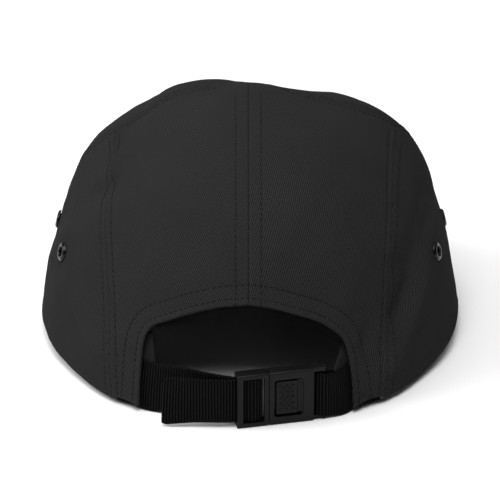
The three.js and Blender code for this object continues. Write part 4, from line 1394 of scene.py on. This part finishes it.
def woven_material(name, colour, weave, wash, depth, constants):
    material, tree, shader = new_material(name, colour, constants)
    uv = wire(tree, "ShaderNodeUVMap", uv_map="weave")
    parts = wire(tree, "ShaderNodeSeparateXYZ", {0: uv.outputs[0]})
    values = {**weave, "Across": parts.outputs[0], "Along": parts.outputs[1]}
    lines = wire(tree, "ShaderNodeGroup", values, node_tree=group_named("Woven Lines", weave_group))
    cloudy = wire(tree, "ShaderNodeGroup", wash, node_tree=group_named("Cloudy Wash", wash_group))
    # The colour carries painted shade and highlight of the ribs from the weave, with the cloth's own random
    # faded tone from the wash
    shade_colour(tree, shader, colour, lines.outputs["Shade"], cloudy.outputs["Shade"])
    height = calculate(tree, "MULTIPLY_ADD", cloudy.outputs["Fuzz"], 0.35, lines.outputs["Height"])
    bump(tree, shader, height, depth, 0.6)
    return material


# Share of the thread's colour that is left by the weave's own small shadows
WEAVE_SHADOW = 0.65
WEBBING_SHADOW = 0.5


# In both woven materials Contrast sets how strongly the ribs' shade and highlight are painted into the colour
def twill_material(colours):
    return woven_material(
        "washed_twill", [WEAVE_SHADOW * part for part in colours.cloth],
        {"Pitch": 0.95, "Break": 1.35, "Unevenness": 0.25, "Contrast": 1.5},
        {"Size": 0.028, "Contrast": 0.25, "Speck": 0.3}, 0.0002,
        {"Roughness": 0.95, "Specular IOR Level": 0.02},
    )


def webbing_material(colours):
    return woven_material(
        "ribbed_webbing", [WEBBING_SHADOW * part for part in colours.webbing],
        {"Pitch": 1.25, "Break": 0.8, "Unevenness": 0.08, "Contrast": 8.0, "Phase": -0.25, "Stagger": 0.5,
         "Crossing": 0.17},
        {"Size": 0.012, "Contrast": 0.3, "Speck": 0.9}, 0.00012,
        {"Roughness": 0.6, "Specular IOR Level": 0.025},
    )


def thread_material(colours):
    material, tree, shader = new_material(
        "sewing_thread", colours.thread, {"Roughness": 0.7, "Specular IOR Level": 0.1})
    wash = {"Size": 0.01, "Contrast": 0.5}
    cloudy = wire(tree, "ShaderNodeGroup", wash, node_tree=group_named("Cloudy Wash", wash_group))
    shade_colour(tree, shader, colours.thread, cloudy.outputs["Shade"])
    bump(tree, shader, cloudy.outputs["Fuzz"], 0.00005, 0.4)
    return material


def grained_material(name, colour, grain, depth, constants):
    material, tree, shader = new_material(name, colour, constants)
    fine = wire(tree, "ShaderNodeGroup", grain, node_tree=group_named("Fine Grain", grain_group))
    shade_colour(tree, shader, colour, fine.outputs["Shade"])
    tree.links.new(fine.outputs["Roughness"], shader.inputs["Roughness"])
    bump(tree, shader, fine.outputs["Height"], depth, 0.5)
    return material


# Share of the plastic's colour that is left to its plain shade beside its gloss
PLASTIC_SHADE = 0.32


def plastic_material(colours):
    return grained_material(
        "moulded_plastic", [PLASTIC_SHADE * part for part in colours.plastic],
        {"Size": 0.00035, "Patches": 0.007, "Least": 0.24, "Most": 0.46},
        0.00004, {"Specular IOR Level": 0.13})


def metal_material(colours):
    return grained_material(
        "coated_metal", colours.metal, {"Size": 0.0012, "Patches": 0.003, "Least": 0.12, "Most": 0.34},
        0.00001, {"Metallic": 0.9})


def material_named(name, build):
    return bpy.data.materials.get(name) or build(bpy.context.scene.cap_colours)


# Eyelets
def eyelet_place(side, turn):
    """Centre and outward direction of an eyelet"""
    up = eyelet_up(side * turn)
    reach = EYELET_DIAMETER / 2
    step, rise = reach / HALF_WIDTH / DEGREE, reach / CROWN_HEIGHT
    across = wall(side * turn + step, up) - wall(side * turn - step, up)
    upward = wall(side * turn, up + rise) - wall(side * turn, up - rise)
    return wall(side * turn, up), unit(-np.cross(across, upward))


# Radius and height of the eyelet's rim, barrel and inner washer, in millimetres
EYELET_PROFILE = (
    (2.1, -2.3), (2.1, 0.55), (2.16, 0.85), (2.34, 1.1), (2.62, 1.2), (3.0, 1.17), (3.4, 1.04), (3.78, 0.8),
    (4.06, 0.5), (4.2, 0.2), (4.18, 0.02), (4.0, -0.12), (2.7, -0.12), (2.7, -1.55), (3.9, -1.55),
    (4.15, -1.7), (4.2, -1.95), (3.9, -2.25), (3.4, -2.42), (2.8, -2.5), (2.3, -2.46),
)
EYELET_SEGMENTS = 56


def eyelet_ring(name, side, turn, material):
    centre, out = eyelet_place(side, turn)
    first = unit(np.cross(out, np.array([0.0, 0.0, 1.0])))
    second = np.cross(out, first)
    angles = np.linspace(0, 2 * math.pi, EYELET_SEGMENTS, endpoint=False)
    profile = np.array(EYELET_PROFILE)
    turned = np.cos(angles)[:, None] * first + np.sin(angles)[:, None] * second
    points = centre + turned[:, None] * profile[None, :, :1] + out * profile[None, :, 1:]
    rows = len(profile)
    index = np.arange(EYELET_SEGMENTS * rows).reshape(EYELET_SEGMENTS, rows)
    beyond = np.roll(index, -1, 0)
    faces = np.stack([index, beyond, np.roll(beyond, -1, 1), np.roll(index, -1, 1)], -1).reshape(-1, 4)
    mesh = new_mesh(name, points.reshape(-1, 3), [], faces.tolist(), {})
    joined_faces(mesh)
    shade_smooth(mesh)
    return new_object(name, mesh, [material])


# Buckle
MOULDING_JOIN = 5e-6
FLAT_ANGLE = 1.5 * DEGREE
BEVEL_ANGLE = 32 * DEGREE
SHARP_ANGLE = 30 * DEGREE


def softened(name, node, width, material):
    """A copy of a CAD node with its corners broken by a fine bevel"""
    mesh = frame["nodes"][node].data.copy()
    mesh.name = name
    mesh.materials.clear()
    shape = bmesh.new()
    shape.from_mesh(mesh)
    bmesh.ops.remove_doubles(shape, verts=shape.verts, dist=MOULDING_JOIN)
    bmesh.ops.dissolve_limit(shape, angle_limit=FLAT_ANGLE, verts=shape.verts, edges=shape.edges)
    shape.to_mesh(mesh)
    shape.free()
    piece = new_object(name, mesh, [material])
    bevel = piece.modifiers.new("corners", "BEVEL")
    bevel.width = width
    bevel.segments = 3
    bevel.limit_method = "ANGLE"
    bevel.angle_limit = BEVEL_ANGLE
    bevel.harden_normals = False
    bpy.context.view_layer.update()
    evaluated = piece.evaluated_get(bpy.context.evaluated_depsgraph_get())
    finished = bpy.data.meshes.new_from_object(evaluated)
    piece.modifiers.remove(bevel)
    piece.data = finished
    bpy.data.meshes.remove(mesh)
    finished.name = name
    sharpen(finished, SHARP_ANGLE)
    return piece


def sharpen(mesh, angle):
    """Smooth shading, apart from edges that turn more than an angle"""
    shape = bmesh.new()
    shape.from_mesh(mesh)
    bmesh.ops.triangulate(shape, faces=[face for face in shape.faces if len(face.verts) > 4])
    for face in shape.faces:
        face.smooth = True
    for edge in shape.edges:
        edge.smooth = len(edge.link_faces) == 2 and edge.calc_face_angle(0) < angle
    shape.to_mesh(mesh)
    shape.free()


def buckle_points(local):
    """Points given along, out from and up the buckle, in millimetres about the crown's axis"""
    local = np.asarray(local, float)
    along, out, up = local[..., 0], local[..., 1], local[..., 2]
    return np.stack([*from_buckle(along, out), WEB_MIDDLE + up], -1)


BUTTON_FACE = BUCKLE_THICKNESS / 2 - BUTTON_SUNK
DOT_COLUMNS = (-5.0, -6.35, -7.7, -9.05, -10.4)
DOT_ROWS = 5
DOT_STEP = 2.75
BUTTON_OVERLAP = 0.05
BUTTON_SIDE = 0.2
STEP_BACK = 0.6


def dot_object():
    """The places of the 23 grip dots: full columns with shorter ones between them"""
    places = []
    for number, along in enumerate(DOT_COLUMNS):
        count = DOT_ROWS - number % 2
        for row in range(count):
            places.append((along, BUTTON_FACE - BUTTON_OVERLAP, (row - (count - 1) / 2) * DOT_STEP))
    out = np.array([-sine(BUCKLE_TURN), cosine(BUCKLE_TURN), 0.0])
    outs = np.tile(out, (len(places), 1))
    return new_object("dot_places", new_mesh("dot_places", buckle_points(places), [], [], {"out": outs}))


def button_step(name, material):
    """The sloping step between the button and the far side of the window"""
    near = -(BUTTON_START + BUTTON_LENGTH + CLEAR)
    far = -(WINDOW_START + WINDOW_LENGTH) + BUTTON_OVERLAP
    corners = []
    outline = (
        (near, STEP_BACK), (near, BUTTON_FACE - 0.7), (mix(near, far, 0.55), BUTTON_FACE - 0.75),
        (far, BUTTON_FACE - 0.15), (far, STEP_BACK),
    )
    for height in (-BUTTON_HEIGHT / 2 + BUTTON_SIDE, BUTTON_HEIGHT / 2 - BUTTON_SIDE):
        corners += [(along, out, height) for along, out in outline]
    count = len(corners) // 2
    faces = [tuple(range(count)), tuple(range(2 * count - 1, count - 1, -1))]
    for number in range(count):
        following = (number + 1) % count
        faces.append((number, number + count, following + count, following))
    mesh = new_mesh(name, buckle_points(corners), [], faces, {})
    joined_faces(mesh)
    return new_object(name, mesh, [material])


# What the operators do
def dress(piece, slot, *nodes):
    """Every piece rides on the one body and hides the CAD nodes it stands in for; the slot is not used"""
    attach(piece, "root")
    if nodes:
        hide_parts(*nodes)


THREAD_RISE = 0.1
BAND_ROW_END = 0.004
BRIM_ROW_END = 4


def stitch_rows(names, features):
    """Points and outward directions of rows of stitches, sunk in their grooves"""
    rows = []
    for name in names:
        line = LINES[name]
        height, _ = relief(line.points, features)
        rows.append((line.points + line.normal * (height + THREAD_RISE)[:, None], line.normal))
    return rows


def sew(name, rows, sizes, seed):
    source = line_object(name + "_rows", rows)
    piece = grow(name, source, group_named("Stitch Row", stitch_tree), {
        "Pitch": sizes.stitch_pitch,
        "Length": sizes.stitch_length,
        "Thickness": sizes.thread_thickness,
        "Tilt": STITCH_TILT,
        "Seed": seed,
        "Material": material_named("sewing_thread", thread_material),
    })
    dress(piece, "twill")
    return piece


def band_rows():
    rows = []
    shares = np.linspace(BAND_ROW_END, 1 - BAND_ROW_END, 900)
    for row in (BAND_ROW, BAND_HEIGHT - BAND_ROW):
        level = np.full(shares.shape, row / BAND_HEIGHT)
        turn, up, offset = band_grid(shares, level)
        out = -wall_normal(turn, up)
        rows.append((wall(turn, up, -offset - CLOTH + THREAD_RISE), out))
    return rows


def brim_rows():
    rows = []
    for row in BRIM_ROWS:
        steps = np.linspace(0, 1, 500)
        _, _, _, reach = brim_grid(steps)
        inside = reach > row + BRIM_ROW_END
        out = 1 - row / reach[inside]
        for level, facing in ((1.0, 1), (0.0, -1)):
            points = brim_point(steps[inside], out, level)
            rows.append((points, np.tile([0.0, 0.0, facing], (len(points), 1))))
    return rows


CLOTH_COLOUR, WEBBING_COLOUR, PLASTIC_COLOUR, METAL_COLOUR = (
    tuple(finish["base_color"]) for finish in frame["record"]["materials"]
)


def size_property(name, description, default, least, unit="LENGTH"):
    return FloatProperty(name=name, description=description, default=default, min=least, unit=unit)


def colour_property(name, description, default):
    return FloatVectorProperty(
        name=name, description=description, subtype="COLOR", size=3, min=0, max=1, default=default)


class CapSizes(bpy.types.PropertyGroup):
    """Sizes of the cap's finer detail"""

    stitch_pitch: size_property("Stitch Pitch", "Distance from one stitch to the next", 0.0024, 0.001)
    stitch_length: size_property("Stitch Length", "Length of one stitch", 0.00185, 0.0005)
    thread_thickness: size_property("Thread Thickness", "Thickness of the sewing thread", 0.00034, 0.0001)
    rib_pitch: size_property(
        "Rib Pitch", "Distance between the webbing's ribs, in millimetres", 1.25, 0.4, "NONE")
    rib_depth: size_property("Rib Depth", "Height of the webbing's ribs", 0.00022, 0)
    dot_diameter: size_property("Dot Diameter", "Width of a grip dot on the buckle's button", 0.00135, 0.0002)
    corner_width: size_property("Corner Width", "Width of the buckle's softened corners", 0.0004, 0.00005)
    stitch_seed: IntProperty(
        name="Stitch Seed", description="Seed of the stitches' slight unevenness", default=7)


class CapColours(bpy.types.PropertyGroup):
    """Colours of the cap and of the stage"""

    cloth: colour_property("Cloth", "Washed cotton twill", CLOTH_COLOUR)
    # The thread's near-black colour is partly its own dark colour and partly painted shade of the stitch
    # grooves
    thread: colour_property("Thread", "Sewing thread", (0.005, 0.005, 0.0052))
    webbing: colour_property("Webbing", "Woven webbing", WEBBING_COLOUR)
    plastic: colour_property("Plastic", "Moulded plastic of the buckle", PLASTIC_COLOUR)
    metal: colour_property("Metal", "Coated metal of the eyelets", METAL_COLOUR)
    floor: colour_property("Floor", "Studio floor", (0.9, 0.9, 0.9))


PANELS = ("front_panel", "back_panel_left", "back_panel_right", "side_panel_left", "side_panel_right")


class CAP_OT_crown(bpy.types.Operator):
    """Build the five panels of the crown"""

    bl_idname = "cap.crown"
    bl_label = "Crown Panels"

    def execute(self, context):
        twill = material_named("washed_twill", twill_material)
        dress(front_panel("front_panel", twill), "twill", "front_panel")
        for word, side in (("left", 1), ("right", -1)):
            for build, name in ((back_panel, "back_panel_" + word), (side_panel, "side_panel_" + word)):
                dress(build(name, side, twill), "twill", name)
        return {"FINISHED"}


class CAP_OT_band(bpy.types.Operator):
    """Build the inner band"""

    bl_idname = "cap.band"
    bl_label = "Inner Band"

    def execute(self, context):
        dress(sweatband(material_named("washed_twill", twill_material)), "twill", "sweatband")
        return {"FINISHED"}


class CAP_OT_brim(bpy.types.Operator):
    """Build the brim"""

    bl_idname = "cap.brim"
    bl_label = "Brim"

    def execute(self, context):
        dress(brim(material_named("washed_twill", twill_material)), "twill", "brim")
        return {"FINISHED"}


class CAP_OT_stitching(bpy.types.Operator):
    """Sew the rows of stitches along the seams, the arch, the band and the brim"""

    bl_idname = "cap.stitching"
    bl_label = "Stitching"

    def execute(self, context):
        sizes = context.scene.cap_sizes
        for number, panel in enumerate(PANELS):
            features = panel_features(panel)
            names = [name for name, kind in features.items() if kind == "row"]
            sew(panel + "_stitches", stitch_rows(names, features), sizes, sizes.stitch_seed + number)
        sew("sweatband_stitches", band_rows(), sizes, sizes.stitch_seed + 5)
        sew("brim_stitches", brim_rows(), sizes, sizes.stitch_seed + 6)
        return {"FINISHED"}


class CAP_OT_straps(bpy.types.Operator):
    """Weave the two straps of ribbed webbing"""

    bl_idname = "cap.straps"
    bl_label = "Webbing Straps"

    def execute(self, context):
        sizes = context.scene.cap_sizes
        web = material_named("ribbed_webbing", webbing_material)
        for name, route, rounded in (("strap_left", left_route, True), ("strap_right", right_route, False)):
            flat = plain_webbing(name + "_flat", route(), web, rounded)
            piece = grow(name + "_webbing", flat, group_named("Woven Ribs", rib_tree), {
                "Pitch": sizes.rib_pitch, "Depth": sizes.rib_depth, "Material": web})
            dress(piece, "webbing", name)
        return {"FINISHED"}


class CAP_OT_buckle(bpy.types.Operator):
    """Soften the buckle's moulded halves and set the dots on its button"""

    bl_idname = "cap.buckle"
    bl_label = "Buckle"

    def execute(self, context):
        sizes = context.scene.cap_sizes
        plastic = material_named("moulded_plastic", plastic_material)
        for node in ("buckle_insert", "buckle_socket"):
            dress(softened(node + "_moulding", node, sizes.corner_width, plastic), "plastic", node)
        dots = grow("buckle_button_dots", dot_object(), group_named("Grip Dots", dot_tree), {
            "Diameter": sizes.dot_diameter, "Height": 1.0, "Material": plastic})
        dress(dots, "plastic")
        dress(button_step("buckle_button_step", plastic), "plastic")
        return {"FINISHED"}


class CAP_OT_eyelets(bpy.types.Operator):
    """Turn the four metal eyelets"""

    bl_idname = "cap.eyelets"
    bl_label = "Eyelets"

    def execute(self, context):
        metal = material_named("coated_metal", metal_material)
        for word, side in (("left", 1), ("right", -1)):
            for where, turn in EYELET_TURNS.items():
                name = f"eyelet_{word}_{where}"
                dress(eyelet_ring(name + "_ring", side, turn, metal), "metal", name)
        return {"FINISHED"}


class CAP_OT_stage(bpy.types.Operator):
    """Set the camera, the floor and the soft studio light"""

    bl_idname = "cap.stage"
    bl_label = "Stage"

    def execute(self, context):
        scene = context.scene
        target = Vector(place([0, 0, TARGET_HEIGHT]))
        set_camera(scene, target)
        mesh = bpy.data.meshes.new("floor")
        corners = [(FLOOR_HALF * x, FLOOR_HALF * y, 0) for x, y in ((-1, -1), (1, -1), (1, 1), (-1, 1))]
        mesh.from_pydata(corners, [], [(0, 1, 2, 3)])
        material, _, _ = new_material("studio_floor", scene.cap_colours.floor, {"Roughness": 0.7})
        new_object("floor", mesh, [material])
        for name, where, size, power in STUDIO_LIGHTS:
            data = bpy.data.lights.new(name, "AREA")
            data.size = size
            data.energy = power
            lamp = bpy.data.objects.new(name, data)
            scene.collection.objects.link(lamp)
            lamp.location = target + Vector(where)
            lamp.rotation_euler = (-Vector(where)).to_track_quat("-Z", "Y").to_euler()
        world = bpy.data.worlds.new("studio_world")
        scene.world = world
        world.use_nodes = True
        background = world.node_tree.nodes["Background"]
        background.inputs["Color"].default_value = (1, 1, 1, 1)
        background.inputs["Strength"].default_value = WORLD_STRENGTH
        scene.view_settings.view_transform = "Standard"
        return {"FINISHED"}


# Name, place from the cap's middle, size and power of each studio light
STUDIO_LIGHTS = (
    ("key_light", (1.5, 0.1, 1.1), 0.8, 20),
    ("rear_light", (0.2, 0.9, 2.05), 1.2, 27),
    ("top_light", (0.1, -0.1, 2.0), 3.2, 44),
)
WORLD_STRENGTH = 0.1
FLOOR_HALF = 4
SENSOR_WIDTH = 36
TARGET_HEIGHT = 50
CAMERA_ELEVATION = 24
CAMERA_DISTANCE = 1.1
FOCAL_PIXELS = 2453
PICTURE_SIDE = 500
TARGET_RISE = 32
TARGET_LEFT = 1.7


def set_camera(scene, target):
    """The photograph's camera: straight behind the cap, a little above it"""
    elevation = CAMERA_ELEVATION * DEGREE
    data = bpy.data.cameras.new("camera")
    data.sensor_width = SENSOR_WIDTH
    data.lens = SENSOR_WIDTH * FOCAL_PIXELS / PICTURE_SIDE
    camera = bpy.data.objects.new("camera", data)
    scene.collection.objects.link(camera)
    camera.location = target + Vector((0, math.cos(elevation), math.sin(elevation))) * CAMERA_DISTANCE
    pitch = math.pi / 2 - elevation - math.atan(TARGET_RISE / FOCAL_PIXELS)
    camera.rotation_euler = (pitch, 0, math.pi - math.atan(TARGET_LEFT / FOCAL_PIXELS))
    scene.camera = camera


STEPS = ("crown", "band", "brim", "stitching", "straps", "buckle", "eyelets", "stage")


class CAP_PT_looks(bpy.types.Panel):
    """Lists the sizes, the colours and the steps of the cap"""

    bl_idname = "CAP_PT_looks"
    bl_label = "Five Panel Cap"
    bl_space_type = "VIEW_3D"
    bl_region_type = "UI"
    bl_category = "Cap"

    def draw(self, context):
        for group in (context.scene.cap_sizes, context.scene.cap_colours):
            column = self.layout.column()
            for name in group.__annotations__:
                column.prop(group, name)
        for step in STEPS:
            self.layout.operator("cap." + step)


CLASSES = (
    CapSizes, CapColours, CAP_OT_crown, CAP_OT_band, CAP_OT_brim, CAP_OT_stitching, CAP_OT_straps,
    CAP_OT_buckle, CAP_OT_eyelets, CAP_OT_stage, CAP_PT_looks,
)


def register():
    for item in CLASSES:
        bpy.utils.register_class(item)
    bpy.types.Scene.cap_sizes = PointerProperty(type=CapSizes)
    bpy.types.Scene.cap_colours = PointerProperty(type=CapColours)


def unregister():
    del bpy.types.Scene.cap_colours
    del bpy.types.Scene.cap_sizes
    for item in reversed(CLASSES):
        bpy.utils.unregister_class(item)


def main():
    register()
    for step in STEPS:
        getattr(bpy.ops.cap, step)()


if __name__ == "__main__":
    main()
